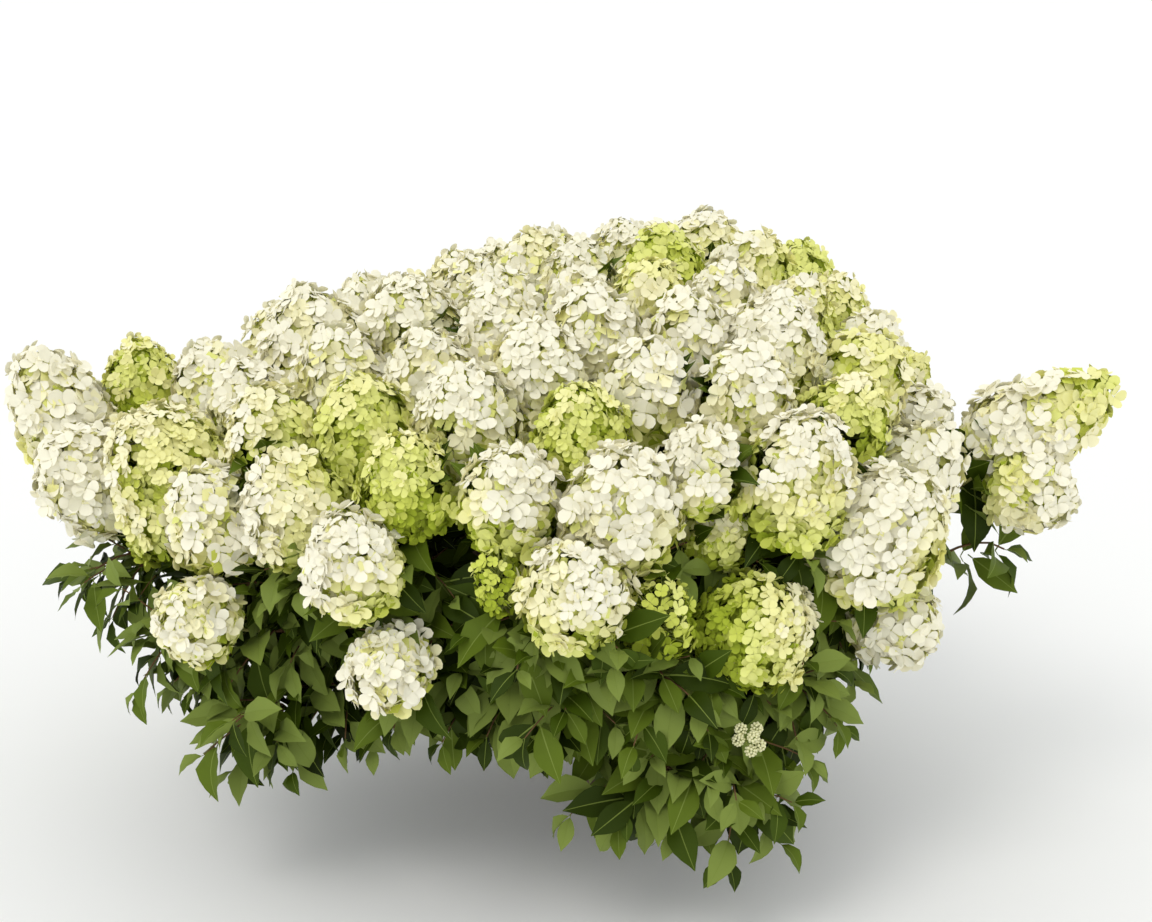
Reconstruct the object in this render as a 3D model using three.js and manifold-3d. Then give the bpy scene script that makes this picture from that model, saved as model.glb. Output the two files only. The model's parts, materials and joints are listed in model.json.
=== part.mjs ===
// A panicle hydrangea in full bloom, rooted in the ground: a short woody stem whose boughs carry
// masses of twigs, leaves and cone-shaped flower heads. Millimetres, +Z up, seen from -Y.
// The origin is the middle of the stem's flat cut at ground level.
import * as THREE from "three";
import Module from "manifold-3d";

const wasm = await Module();
wasm.setup();

const UP = new THREE.Vector3(0, 0, 1);
const GOLDEN_ANGLE = Math.PI * (3 - Math.sqrt(5));

// Crown: flower heads sit on a flattened dome round its heart, higher towards the back right
const HEART = new THREE.Vector3(-35, 0, 398);
const REACH = [400, 430, 430, 470, 640, 570, 450, 440]; // every 45 degrees from +X, anticlockwise
const DOME_RISE = 278;
const DOME_SQUARENESS = 2.2;
const DOME_TILT = 0.15;
const DOME_TILT_AZIMUTH = radians(42);
const DOME_RIM = [78, 78, 78, 78, 78, 71, 76, 81].map(radians); // lowest heads, every 45 degrees

// How spots are spread over the dome: a spiral, then rounds of pushing apart
const SPREAD_ROUNDS = 60;
const SPREAD_PUSH = 0.25;
const SPREAD_JITTER = 0.2;

// Flower heads: a profile of rounded cones, as shares of length and of half the width
const CROWN_HEADS = 72;
const HEAD_ROOM = 142;
const HEAD_LENGTH = 152;
const HEAD_WIDTH = 136;
const HEAD_SIZES = [0.8, 1.16]; // the smallest and the largest, against these
const HEAD_GAP = 3;
const WING_PRESS = 30; // heads of a wing may press this far into each other
const HEAD_UPRIGHT = 0.6;
const HEAD_PROFILE = [
  [0, 0.6],
  [0.26, 1],
  [0.66, 0.88],
  [1, 0.36],
];
const HEAD_BALLS = [
  [-0.25, 0.46],
  [0, 0.48],
  [0.3, 0.33],
];
const LEAFY_POLAR = radians(52);
const HEAD_SIDES = 6;
const HEAD_LOBES = 0.06;

// Heads that stand out from the dome: middle, lean, length and width
const STRAY_HEADS = [
  { at: [525, -40, 530], lean: [0.86, 0, 0.5], length: 225, width: 130 },
  { at: [512, -85, 455], lean: [0.6, -0.2, -0.2], length: 120, width: 122 },
  { at: [-715, 0, 540], lean: [-0.35, 0, 0.95], length: 160, width: 112 },
  { at: [-655, -110, 482], lean: [-0.5, -0.5, 0.5], length: 145, width: 138 },
  { at: [-620, 70, 548], lean: [-0.1, 0.1, 0.95], length: 150, width: 120 },
  { at: [-500, -330, 372], lean: [-0.4, -0.8, 0.35], length: 104, width: 112 },
  { at: [-268, -425, 345], lean: [-0.2, -0.9, 0.2], length: 96, width: 112 },
  { at: [325, -262, 350], lean: [0.6, -0.75, 0.1], length: 104, width: 104 },
  { at: [150, -350, 386], lean: [0.3, -0.6, 0.7], length: 122, width: 138 },
  { at: [106, -292, 482], lean: [0.1, -0.5, 0.8], length: 96, width: 108 },
  { at: [-140, -395, 462], lean: [-0.1, -0.4, 0.9], length: 124, width: 76 },
  { at: [37, -385, 414], lean: [0.1, -0.4, 0.9], length: 108, width: 78 },
  { at: [140, -412, 275], lean: [0.3, -0.8, 0.5], length: 46, width: 50 },
];

const STRAY_ROOM = 0.34; // heads of the dome that crowd a stray one closer than this give way

// Masses: middles spread over the dome, and round its skirt
const CROWN_MASSES = 12;
const CROWN_ROOM = 330;
const SKIRT_MASSES = 8;
const SKIRT_SHARE = 0.8; // how far out a skirt mass's middle is, as a share of the crown's reach
const SKIRT_DROP = 150; // how far below the crown's rim it is
const WINGS = [
  { name: "right_wing", middle: [470, -50, 440] },
  { name: "left_wing", middle: [-610, -20, 470] },
];
const SKIRT_FORK_SHARE = 0.42;
const FORK_SHARE = 0.56; // where a bough ends, on the way from the stem to its mass's middle
const HUB_SHARE = 0.82; // where the mass's own stem ends
const JOINT_GAP = 0.35;

// Woody stem: height and radius, from the root flare up to a rounded top
const FORK_HEIGHT = 62;
const STEM_TOP_RADIUS = 38;
const STEM_LEAN = new THREE.Vector3(5, 3, 0);
const FLARE = [
  [0, 64],
  [10, 52],
  [28, 43],
  [FORK_HEIGHT - 14, STEM_TOP_RADIUS],
];
const FLARE_LOBES = 0.12;
const FLARE_LOBE_COUNT = 5;
const STEM_SIDES = 25;
const STEM_TOP_RINGS = [0, 13, 26, 39, 52, 65, 78].map(radians);
const START_LOWEST = radians(82);
const START_SPLAY = 1.2;
const START_ROOM = 0.5;
const START_ROUNDS = 60;

// Boughs, mass stems and twigs
const BOUGH_BASE = 7;
const BOUGH_TIP = 5;
const BOUGH_SIDES = 5;
const BOUGH_STEPS = 4;
const BOUGH_BOW = 0.38;
const SPUR_TIP = 4;
const SPUR_SIDES = 4;
const SPUR_STEPS = 2;
const SPUR_BOW = 0.3;
const TWIG_BASE = 4;
const TWIG_TIP = 3.2;
const TWIG_SIDES = 3;
const TWIG_STEPS = 2;
const TWIG_BOW = 0.33;
const TWIG_SPLAY = 1.3; // how far aside a twig starts, against how far it goes on
const TWIG_SINK = 6;
const TWIG_FIRST = 0.15; // where the first twig leaves its spur

// Leafy shoots of the skirt: where they hang, and the lowest of them every 45 degrees from +X
const SHOOTS = 4;
const SHOOT_SPREAD = radians(40);
const SHOOT_FOOT = [260, 235, 215, 230, 300, 255, 255, 225];
const SHOOT_HEAD_ROOM = 66;
const SHOOT_IN = 0.7;
const SHOOT_OUT = 0.94;
const SHOOT_DROOP = 0.7;
const STRAY_SHOOTS = [
  { tip: [140, -385, 180], way: [0.3, -0.6, -0.55] },
  { tip: [45, -390, 215], way: [-0.2, -0.7, -0.6] },
  { tip: [-455, -310, 245], way: [-0.5, -0.5, -0.5] },
  { tip: [485, -60, 365], way: [0.7, -0.1, -0.5] },
  { tip: [-650, -130, 366], way: [-0.7, -0.3, -0.5] },
  { tip: [-560, -235, 325], way: [-0.6, -0.5, -0.4] },
  { tip: [-520, -200, 290], way: [-0.6, -0.4, -0.5] },
  { tip: [-430, -260, 225], way: [-0.3, -0.5, -0.7] },
  { tip: [-60, -400, 330], way: [-0.1, -0.9, 0] },
  { tip: [40, -395, 345], way: [0.1, -0.9, 0] },
  { tip: [215, -330, 300], way: [0.6, -0.7, 0] },
];

// Leaves, in opposite pairs
const LEAF_LENGTH = 96;
const LEAF_WIDTH = 48;
const LEAF_WIDEST = 0.44;
const LEAF_KEEL = 4;
const LEAF_DROOP = 0.35;
const LEAF_FORWARD = 0.5;
const LEAF_SINK = 1;
const LEAF_SPACING = 9;
const LEAF_CLEARANCE = 2;
const BALLS_PER_PATH = 16;
const LEAF_TRIES = 4;
const HEAD_PAIRS = [0.45, 0.85]; // under the heads of the rim; those further up have none
const SHOOT_PAIRS = [0.5, 0.76, 0.98];

const FUSE_TOLERANCE = 0.2;
const BARK = "#7a6048";
const FOLIAGE = "#a9b573";

function radians(degrees) {
  return (degrees * Math.PI) / 180;
}

function vector(list) {
  return new THREE.Vector3(list[0], list[1], list[2]);
}

// A stream of numbers from 0 to 1 that repeats for the same seed
function seeded(seed) {
  let state = seed >>> 0;
  return () => {
    state = (state + 0x6d2b79f5) >>> 0;
    let mix = state;
    mix = Math.imul(mix ^ (mix >>> 15), mix | 1);
    mix ^= mix + Math.imul(mix ^ (mix >>> 7), mix | 61);
    return ((mix ^ (mix >>> 14)) >>> 0) / 4294967296;
  };
}

// A value given every 45 degrees, eased between the two on either side
function around(values, azimuth) {
  const turn = azimuth / (Math.PI / 4);
  const eighths = ((turn % 8) + 8) % 8;
  const first = Math.floor(eighths);
  const ease = (1 - Math.cos(Math.PI * (eighths - first))) / 2;
  return values[first % 8] * (1 - ease) + values[(first + 1) % 8] * ease;
}

function rimAt(azimuth) {
  return around(DOME_RIM, azimuth);
}

function tilt(point) {
  const uphill = point.x * Math.cos(DOME_TILT_AZIMUTH) + point.y * Math.sin(DOME_TILT_AZIMUTH);
  return DOME_TILT * uphill;
}

// The dome's surface as seen from its heart
function domePoint(azimuth, polar) {
  const across = Math.sin(polar) / around(REACH, azimuth);
  const rise = Math.cos(polar) / DOME_RISE;
  const sum = Math.abs(across) ** DOME_SQUARENESS + Math.abs(rise) ** DOME_SQUARENESS;
  const point = new THREE.Vector3(
    Math.cos(azimuth) * Math.sin(polar),
    Math.sin(azimuth) * Math.sin(polar),
    Math.cos(polar),
  ).multiplyScalar(sum ** (-1 / DOME_SQUARENESS));
  point.z += tilt(point);
  return point;
}

function domeNormal(azimuth, polar) {
  const step = 0.01;
  const down = domePoint(azimuth, polar + step).sub(domePoint(azimuth, polar - step));
  const along = domePoint(azimuth + step, polar).sub(domePoint(azimuth - step, polar));
  return down.cross(along).normalize();
}

// Spots over the dome: a golden-angle spiral, then pushed apart until each has its room
function spread(count, room, seed) {
  const draw = seeded(seed);
  const spots = [];
  for (let i = 0; i < count; i += 1) {
    const azimuth = i * GOLDEN_ANGLE + 0.4 + (draw() - 0.5) * SPREAD_JITTER;
    const polar = Math.acos(1 - ((i + 0.5) / count) * (1 - Math.cos(rimAt(azimuth))));
    spots.push({ azimuth, polar });
  }
  for (let round = 0; round < SPREAD_ROUNDS; round += 1) {
    const points = spots.map((spot) => domePoint(spot.azimuth, spot.polar));
    points.forEach((point, i) => {
      const moved = point.clone();
      points.forEach((other, j) => {
        const gap = point.clone().sub(other);
        const far = gap.length();
        if (j !== i && far < room) moved.addScaledVector(gap, ((room - far) / far) * SPREAD_PUSH);
      });
      moved.z -= tilt(moved);
      spots[i].azimuth = Math.atan2(moved.y, moved.x);
      const polar = Math.atan2(Math.hypot(moved.x, moved.y), moved.z);
      spots[i].polar = Math.min(rimAt(spots[i].azimuth), polar);
    });
  }
  return spots;
}

// Closed skin over rings of points that run anticlockwise round the way they are stacked
function skin(rings) {
  const sides = rings[0].length;
  const last = (rings.length - 1) * sides;
  const faces = [];
  for (let ring = 0; ring < last; ring += sides) {
    for (let i = 0; i < sides; i += 1) {
      const next = (i + 1) % sides;
      faces.push(ring + i, ring + next, ring + sides + next);
      faces.push(ring + i, ring + sides + next, ring + sides + i);
    }
  }
  for (let i = 1; i < sides - 1; i += 1) {
    faces.push(0, i + 1, i);
    faces.push(last, last + i, last + i + 1);
  }
  return shape(rings.flat(), faces);
}

function shape(points, faces) {
  const geometry = new THREE.BufferGeometry().setFromPoints(points);
  geometry.setIndex(faces);
  return geometry;
}

// Two directions square to an axis, the first as near as can be to a wanted one
function square(axis, wanted) {
  const side = wanted.clone().addScaledVector(axis, -wanted.dot(axis)).normalize();
  return [side, axis.clone().cross(side)];
}

function ringPoint(middle, side, other, radius, angle) {
  return middle
    .clone()
    .addScaledVector(side, Math.cos(angle) * radius)
    .addScaledVector(other, Math.sin(angle) * radius);
}

// Path that leaves one point in one direction and comes to another in another
function arc(from, fromWay, to, toWay, bow, steps) {
  const pull = from.distanceTo(to) * bow;
  const near = from.clone().addScaledVector(fromWay, pull);
  const far = to.clone().addScaledVector(toWay, -pull);
  return new THREE.CubicBezierCurve3(from, near, far, to).getPoints(steps);
}

// The point a share of the way along a path's straight runs, and the way the path goes there
function along(path, share) {
  const runs = path.length - 1;
  const run = Math.min(runs - 1, Math.floor(share * runs));
  const point = path[run].clone().lerp(path[run + 1], share * runs - run);
  return [point, path[run + 1].clone().sub(path[run]).normalize()];
}

// Tapering limb along a path, its foot cut square to the way it starts in
function limb(path, startWay, baseRadius, tipRadius, sides) {
  let side = Math.abs(startWay.z) > 0.9 ? vector([1, 0, 0]) : UP;
  const rings = path.map((middle, k) => {
    const before = path[Math.max(k - 1, 0)];
    const after = path[Math.min(k + 1, path.length - 1)];
    const way = k === 0 ? startWay : after.clone().sub(before).normalize();
    const [across, other] = square(way, side);
    side = across;
    const radius = baseRadius + ((tipRadius - baseRadius) * k) / (path.length - 1);
    const ring = [];
    for (let i = 0; i < sides; i += 1) {
      ring.push(ringPoint(middle, across, other, radius, (i * 2 * Math.PI) / sides));
    }
    return ring;
  });
  return skin(rings);
}

function headShape(head, draw) {
  const foot = head.at.clone().addScaledVector(head.axis, -head.length / 2);
  const [side, other] = square(head.axis, Math.abs(head.axis.x) > 0.9 ? UP : vector([1, 0, 0]));
  const rings = HEAD_PROFILE.map(([along, share]) => {
    const middle = foot.clone().addScaledVector(head.axis, along * head.length);
    const ring = [];
    for (let i = 0; i < HEAD_SIDES; i += 1) {
      const radius = (head.width / 2) * share * (1 + (draw() - 0.5) * 2 * HEAD_LOBES);
      ring.push(ringPoint(middle, side, other, radius, ((i + 0.5) * 2 * Math.PI) / HEAD_SIDES));
    }
    return ring;
  });
  return skin(rings);
}

// Leaf: a thin blade, pointed at both ends and keeled below, its foot sunk in its twig
function leafPoints(leaf) {
  const at = (along, across, lift) =>
    leaf.at
      .clone()
      .addScaledVector(leaf.way, along)
      .addScaledVector(leaf.side, across)
      .addScaledVector(leaf.face, lift);
  const widest = LEAF_LENGTH * LEAF_WIDEST;
  return [
    at(-LEAF_SINK, 0, 0),
    at(widest, LEAF_WIDTH / 2, LEAF_KEEL),
    at(LEAF_LENGTH, 0, 0),
    at(widest, -LEAF_WIDTH / 2, LEAF_KEEL),
  ];
}

function leafShape(leaf) {
  return shape(leafPoints(leaf), [0, 1, 3, 1, 2, 3, 0, 2, 1, 0, 3, 2]);
}

// Heads: those of the dome, each looking out and up, and the stray ones
function growHeads() {
  const draw = seeded(21);
  const heads = spread(CROWN_HEADS, HEAD_ROOM, 11).map(({ azimuth, polar }) => {
    const size = HEAD_SIZES[0] + (HEAD_SIZES[1] - HEAD_SIZES[0]) * draw();
    return {
      at: domePoint(azimuth, polar).add(HEART),
      axis: domeNormal(azimuth, polar).addScaledVector(UP, HEAD_UPRIGHT).normalize(),
      length: HEAD_LENGTH * size,
      width: HEAD_WIDTH * size,
      leafy: polar > LEAFY_POLAR,
    };
  });
  STRAY_HEADS.forEach(({ at, lean, length, width }) => {
    const stray = { at: vector(at), axis: vector(lean).normalize(), length, width };
    for (let i = heads.length - 1; i >= 0; i -= 1) {
      const far = heads[i].at.distanceTo(stray.at);
      if (far < STRAY_ROOM * (HEAD_WIDTH + width) && !heads[i].stray) heads.splice(i, 1);
    }
    heads.push({ ...stray, leafy: true, stray: true });
  });
  return heads;
}

// A head's half size towards a neighbour
function bulk(head, towards) {
  const along = Math.abs(towards.dot(head.axis)) / (head.length / 2);
  const across = Math.sqrt(Math.max(0, 1 - towards.dot(head.axis) ** 2)) / (head.width / 2);
  return 1 / Math.hypot(along, across);
}

function shrinkHeads(heads) {
  const scales = heads.map((head) => {
    let scale = 1;
    heads.forEach((other) => {
      if (other === head) return;
      const towards = other.at.clone().sub(head.at);
      const far = towards.length();
      towards.divideScalar(far);
      const pressed = other.mass === head.mass && head.mass.kind === "wing";
      const room = far + (pressed ? WING_PRESS : -HEAD_GAP);
      scale = Math.min(scale, room / (bulk(head, towards) + bulk(other, towards)));
    });
    return scale;
  });
  heads.forEach((head, i) => {
    head.length *= scales[i];
    head.width *= scales[i];
  });
}

// The ways in which boughs leave the stem's rounded top: lower than where they are bound, and
// pushed apart until there is room for all of them
function startWays(aims) {
  const ways = aims.map((aim) => {
    const polar = Math.min(START_LOWEST, Math.acos(aim.z / aim.length()) * START_SPLAY);
    const flat = aim.clone().setZ(0).setLength(Math.sin(polar));
    return flat.setZ(Math.cos(polar));
  });
  for (let round = 0; round < START_ROUNDS; round += 1) {
    const before = ways.map((way) => way.clone());
    ways.forEach((way, i) => {
      before.forEach((other, j) => {
        const gap = before[i].clone().sub(other);
        const far = gap.length();
        if (j !== i && far < START_ROOM) way.addScaledVector(gap, ((START_ROOM - far) / far) * 0.3);
      });
      way.z = Math.max(way.z, Math.cos(START_LOWEST));
      way.normalize();
    });
  }
  return ways;
}

// Masses: a middle each, the bough that comes to it and a spur of its own that goes on
function growMasses() {
  const masses = spread(CROWN_MASSES, CROWN_ROOM, 5).map(({ azimuth, polar }, i) => ({
    name: `crown_${i + 1}`,
    kind: "crown",
    middle: domePoint(azimuth, polar).add(HEART),
  }));
  for (let i = 0; i < SKIRT_MASSES; i += 1) {
    const azimuth = ((i + 0.5) * 2 * Math.PI) / SKIRT_MASSES;
    const middle = domePoint(azimuth, rimAt(azimuth));
    middle.x *= SKIRT_SHARE;
    middle.y *= SKIRT_SHARE;
    middle.z -= SKIRT_DROP;
    masses.push({ name: `skirt_${i + 1}`, kind: "skirt", azimuth, middle: middle.add(HEART) });
  }
  WINGS.forEach(({ name, middle }) => {
    masses.push({ name, kind: "wing", middle: vector(middle) });
  });
  const fork = new THREE.Vector3(STEM_LEAN.x, STEM_LEAN.y, FORK_HEIGHT);
  const starts = startWays(masses.map((mass) => mass.middle.clone().sub(fork)));
  masses.forEach((mass, i) => {
    const way = mass.middle.clone().sub(fork);
    const far = way.length();
    way.normalize();
    const start = starts[i];
    const base = fork.clone().addScaledVector(start, STEM_TOP_RADIUS + JOINT_GAP);
    const forkShare = mass.kind === "skirt" ? SKIRT_FORK_SHARE : FORK_SHARE;
    const tip = fork.clone().addScaledVector(way, far * forkShare);
    mass.start = start;
    mass.bough = arc(base, start, tip, way, BOUGH_BOW, BOUGH_STEPS);
    mass.way = tip.clone().sub(mass.bough[BOUGH_STEPS - 1]).normalize();
    mass.root = tip.clone().addScaledVector(mass.way, JOINT_GAP);
    mass.hub = fork.clone().addScaledVector(way, far * HUB_SHARE);
    mass.spur = arc(mass.root, mass.way, mass.hub, way, SPUR_BOW, SPUR_STEPS);
    mass.pieces = [limb(mass.spur, mass.way, BOUGH_TIP, SPUR_TIP, SPUR_SIDES)];
    mass.leaves = [];
  });
  return masses;
}

function nearestMass(masses, point) {
  return masses.reduce((best, mass) =>
    mass.middle.distanceTo(point) < best.middle.distanceTo(point) ? mass : best,
  );
}

// The room that grown things take up, as balls marked with their mass
const balls = [];

function fillPath(path, radius, mass, kind) {
  for (let i = 0; i <= BALLS_PER_PATH; i += 1) {
    const [at] = along(path, i / BALLS_PER_PATH);
    balls.push({ at, radius, mass, kind, path });
  }
}

function fillHead(head) {
  HEAD_BALLS.forEach(([up, share]) => {
    const at = head.at.clone().addScaledVector(head.axis, up * head.length);
    balls.push({ at, radius: head.width * share, mass: head.mass, kind: "head" });
  });
}

// Least distances from a point to its own mass's twigs and heads, to other masses, and to what
// may not be touched at all: boughs, heads and any twig but its own
function gaps(point, mass, path) {
  const least = { own: Infinity, other: Infinity, hard: Infinity };
  balls.forEach((ball) => {
    const gap = ball.at.distanceTo(point) - ball.radius;
    if (ball.mass !== mass) least.other = Math.min(least.other, gap);
    else if (ball.kind !== "bough") least.own = Math.min(least.own, gap);
    if (path ? ball.path !== path : ball.kind !== "twig") least.hard = Math.min(least.hard, gap);
  });
  return least;
}

function leafAt(at, way, outward, sideways) {
  const leafWay = sideways
    .clone()
    .addScaledVector(way, LEAF_FORWARD)
    .addScaledVector(UP, -LEAF_DROOP)
    .normalize();
  const [face, side] = square(leafWay, outward.clone().add(UP));
  return { at, way: leafWay, face, side };
}

// Leaves in opposite pairs along a twig, each pair turned a quarter from the last
function leafUp({ mass, path, places, seed }) {
  const draw = seeded(seed);
  let turn = draw() * Math.PI;
  places.forEach((place) => {
    const [at, way] = along(path, place);
    const outward = at.clone().sub(HEART).setZ(0).normalize();
    const [side, other] = square(way, Math.abs(way.z) > 0.9 ? vector([1, 0, 0]) : UP);
    [0, Math.PI].forEach((flip) => {
      for (let attempt = 0; attempt < LEAF_TRIES; attempt += 1) {
        const angle = turn + flip + (attempt * Math.PI) / 5;
        const sideways = ringPoint(new THREE.Vector3(), side, other, 1, angle);
        const leaf = leafAt(at, way, outward, sideways);
        if (roomForLeaf(mass, leaf, path)) {
          mass.leaves.push(leaf);
          break;
        }
      }
    });
    turn += Math.PI / 2;
  });
}

function roomForLeaf(mass, leaf, path) {
  const [root, left, tip, right] = leafPoints(leaf);
  const between = (a, b, share) => a.clone().lerp(b, share);
  const points = [left, tip, right, between(left, right, 0.5)];
  points.push(between(left, tip, 0.5), between(right, tip, 0.5));
  points.push(between(root, left, 0.7), between(root, right, 0.7));
  const apart = mass.leaves.every((other) =>
    points.every((point) => other.points.every((theirs) => theirs.distanceTo(point) > LEAF_SPACING)),
  );
  if (!apart) return false;
  leaf.points = points;
  return points.every((point) => {
    const { own, other, hard } = gaps(point, mass, path);
    return hard > LEAF_CLEARANCE && other > own + 2 * LEAF_CLEARANCE;
  });
}

// Each twig leaves its mass's spur in turn: those that reach far aside low down, the others higher
function giveTwigs(masses, targets) {
  masses.forEach((mass) => {
    const rank = ({ to }) => {
      const aim = to.clone().sub(mass.root);
      const ahead = aim.dot(mass.way);
      return ahead - Math.sqrt(aim.lengthSq() - ahead ** 2);
    };
    const own = targets.filter((target) => target.mass === mass).sort((a, b) => rank(a) - rank(b));
    own.forEach((target, i) => {
      const place = TWIG_FIRST + ((1 - TWIG_FIRST) * (i + 0.5)) / own.length;
      const [from] = along(mass.spur, place);
      const aim = target.to.clone().sub(from);
      const aside = aim.clone().addScaledVector(mass.way, -aim.dot(mass.way)).normalize();
      target.startWay = aside.multiplyScalar(TWIG_SPLAY).add(mass.way).normalize();
      target.path = arc(from, target.startWay, target.to, target.way, TWIG_BOW, TWIG_STEPS);
    });
  });
}

function headTargets(heads) {
  return heads.map((head, i) => ({
    to: head.at.clone().addScaledVector(head.axis, TWIG_SINK - head.length / 2),
    way: head.axis,
    mass: head.mass,
    places: head.leafy ? HEAD_PAIRS : [],
    seed: 500 + i,
  }));
}

// Shoots of the skirt hang in rising steps from its foot up to below the crown's rim
function shootTargets(masses) {
  const targets = [];
  masses.forEach((mass, k) => {
    if (mass.kind !== "skirt") return;
    for (let i = 0; i < SHOOTS; i += 1) {
      const share = (i + 0.5) / SHOOTS;
      const azimuth = mass.azimuth + (((i * 0.618) % 1) - 0.5) * SHOOT_SPREAD;
      const rim = domePoint(azimuth, rimAt(azimuth));
      const foot = around(SHOOT_FOOT, azimuth);
      const height = foot + (HEART.z + rim.z - SHOOT_HEAD_ROOM - foot) * share;
      const out = SHOOT_IN + (SHOOT_OUT - SHOOT_IN) * share;
      const to = new THREE.Vector3(HEART.x + rim.x * out, HEART.y + rim.y * out, height);
      const way = rim.setZ(0).normalize().addScaledVector(UP, SHOOT_DROOP * (share - 1));
      targets.push({ to, way: way.normalize(), mass, places: SHOOT_PAIRS, seed: 2000 + k * 20 + i });
    }
  });
  STRAY_SHOOTS.forEach(({ tip, way }, i) => {
    const to = vector(tip);
    const mass = nearestMass(masses, to);
    targets.push({ to, way: vector(way).normalize(), mass, places: SHOOT_PAIRS, seed: 3000 + i });
  });
  return targets;
}

// A shoot keeps clear of boughs, heads and other masses beyond its first fifth
function shootFits({ path, mass }) {
  for (let i = 0; i <= BALLS_PER_PATH; i += 1) {
    const [point] = along(path, 0.2 + (0.8 * i) / BALLS_PER_PATH);
    const { other, hard } = gaps(point, mass);
    if (Math.min(other, hard) < TWIG_BASE + LEAF_CLEARANCE) return false;
  }
  return true;
}

function grow() {
  const masses = growMasses();
  const heads = growHeads();
  heads.forEach((head) => {
    head.mass = nearestMass(masses, head.at);
  });
  shrinkHeads(heads);
  heads.forEach(fillHead);
  masses.forEach((mass) => {
    fillPath(mass.bough, BOUGH_BASE, mass, "bough");
    fillPath(mass.spur, BOUGH_TIP, mass, "twig");
  });
  const stalks = headTargets(heads);
  const shoots = shootTargets(masses);
  giveTwigs(masses, [...stalks, ...shoots]);
  stalks.forEach(({ path, mass }) => fillPath(path, TWIG_BASE, mass, "twig"));
  const kept = shoots.filter((shoot) => {
    const fits = shootFits(shoot);
    if (fits) fillPath(shoot.path, TWIG_BASE, shoot.mass, "twig");
    return fits;
  });
  heads.forEach((head, i) => head.mass.pieces.push(headShape(head, seeded(900 + i))));
  [...stalks, ...kept].forEach((twig) => {
    twig.mass.pieces.push(limb(twig.path, twig.startWay, TWIG_BASE, TWIG_TIP, TWIG_SIDES));
    leafUp(twig);
  });
  masses.forEach((mass) => mass.pieces.push(...mass.leaves.map(leafShape)));
  return masses;
}

// Which shell each corner belongs to, found by joining the corners of every face
function shells(faces, count) {
  const link = Array.from({ length: count }, (_, i) => i);
  const find = (i) => {
    let top = i;
    while (link[top] !== top) top = link[top];
    link[i] = top;
    return top;
  };
  for (let i = 0; i < faces.length; i += 3) {
    link[find(faces[i + 1])] = find(faces[i]);
    link[find(faces[i + 2])] = find(faces[i]);
  }
  return link.map((_, i) => find(i));
}

// Pieces fused into one solid: only its outer skin stays, so hollows sealed inside it are filled
// and loose scraps dropped
function fuse(pieces) {
  const solids = pieces.map((geometry) => {
    const mesh = new wasm.Mesh({
      numProp: 3,
      vertProperties: new Float32Array(geometry.getAttribute("position").array),
      triVerts: new Uint32Array(geometry.getIndex().array),
    });
    return new wasm.Manifold(mesh);
  });
  const mesh = wasm.Manifold.union(solids).simplify(FUSE_TOLERANCE).getMesh();
  const geometry = new THREE.BufferGeometry();
  geometry.setAttribute("position", new THREE.BufferAttribute(mesh.vertProperties, 3));
  const shell = shells(mesh.triVerts, mesh.vertProperties.length / 3);
  const volumes = new Map();
  const corner = (i) => new THREE.Vector3().fromArray(mesh.vertProperties, mesh.triVerts[i] * 3);
  for (let i = 0; i < mesh.triVerts.length; i += 3) {
    const volume = corner(i).dot(corner(i + 1).cross(corner(i + 2))) / 6;
    const key = shell[mesh.triVerts[i]];
    volumes.set(key, (volumes.get(key) ?? 0) + volume);
  }
  const [outer] = [...volumes].sort((a, b) => b[1] - a[1])[0];
  const kept = [];
  for (let i = 0; i < mesh.triVerts.length; i += 3) {
    if (shell[mesh.triVerts[i]] === outer) kept.push(...mesh.triVerts.subarray(i, i + 3));
  }
  geometry.setIndex(kept);
  return geometry;
}

function stemShape() {
  const rings = [];
  const ring = (height, radius, lobes) => {
    const rise = Math.min(1, height / FORK_HEIGHT);
    const middle = STEM_LEAN.clone().multiplyScalar(rise).setZ(height);
    const points = [];
    for (let i = 0; i < STEM_SIDES; i += 1) {
      const angle = (i * 2 * Math.PI) / STEM_SIDES;
      const lobed = radius * (1 + lobes * Math.cos(angle * FLARE_LOBE_COUNT));
      points.push(ringPoint(middle, vector([1, 0, 0]), vector([0, 1, 0]), lobed, angle));
    }
    rings.push(points);
  };
  FLARE.forEach(([height, radius]) => {
    ring(height, radius, FLARE_LOBES * (1 - height / FLARE[FLARE.length - 1][0]));
  });
  STEM_TOP_RINGS.forEach((angle) => {
    ring(FORK_HEIGHT + STEM_TOP_RADIUS * Math.sin(angle), STEM_TOP_RADIUS * Math.cos(angle), 0);
  });
  return skin(rings);
}

const group = new THREE.Group();
group.name = "panicle_hydrangea";

function add(name, geometry, colour) {
  const plain = geometry.toNonIndexed();
  plain.computeVertexNormals();
  const mesh = new THREE.Mesh(plain, new THREE.MeshStandardMaterial({ color: colour, roughness: 0.8 }));
  mesh.name = name;
  group.add(mesh);
}

add("stem", stemShape(), BARK);
grow().forEach((mass) => {
  const bough = limb(mass.bough, mass.start, BOUGH_BASE, BOUGH_TIP, BOUGH_SIDES);
  add(`${mass.name}_bough`, bough, BARK);
  add(`${mass.name}_mass`, fuse(mass.pieces), FOLIAGE);
});

export default group;
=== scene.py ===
"""A panicle hydrangea in full bloom, rooted in the ground.

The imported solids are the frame. The same growth rule as theirs is written again here and carried
to finer twigs: boughs leave a short stem, each ends in a mass of twigs, and the twigs carry leaves
in opposite pairs and cone-shaped heads of four-petalled florets. The rule works in millimetres,
and the meshes are made in metres.
"""

import json  # noqa: E402
import logging  # noqa: E402
import math  # noqa: E402
from dataclasses import dataclass, field  # noqa: E402
from enum import Enum  # noqa: E402
from typing import Callable, NamedTuple, Optional, Sequence  # noqa: E402

import bpy  # noqa: E402
import numpy as np  # noqa: E402
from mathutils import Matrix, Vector, noise  # noqa: E402

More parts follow.
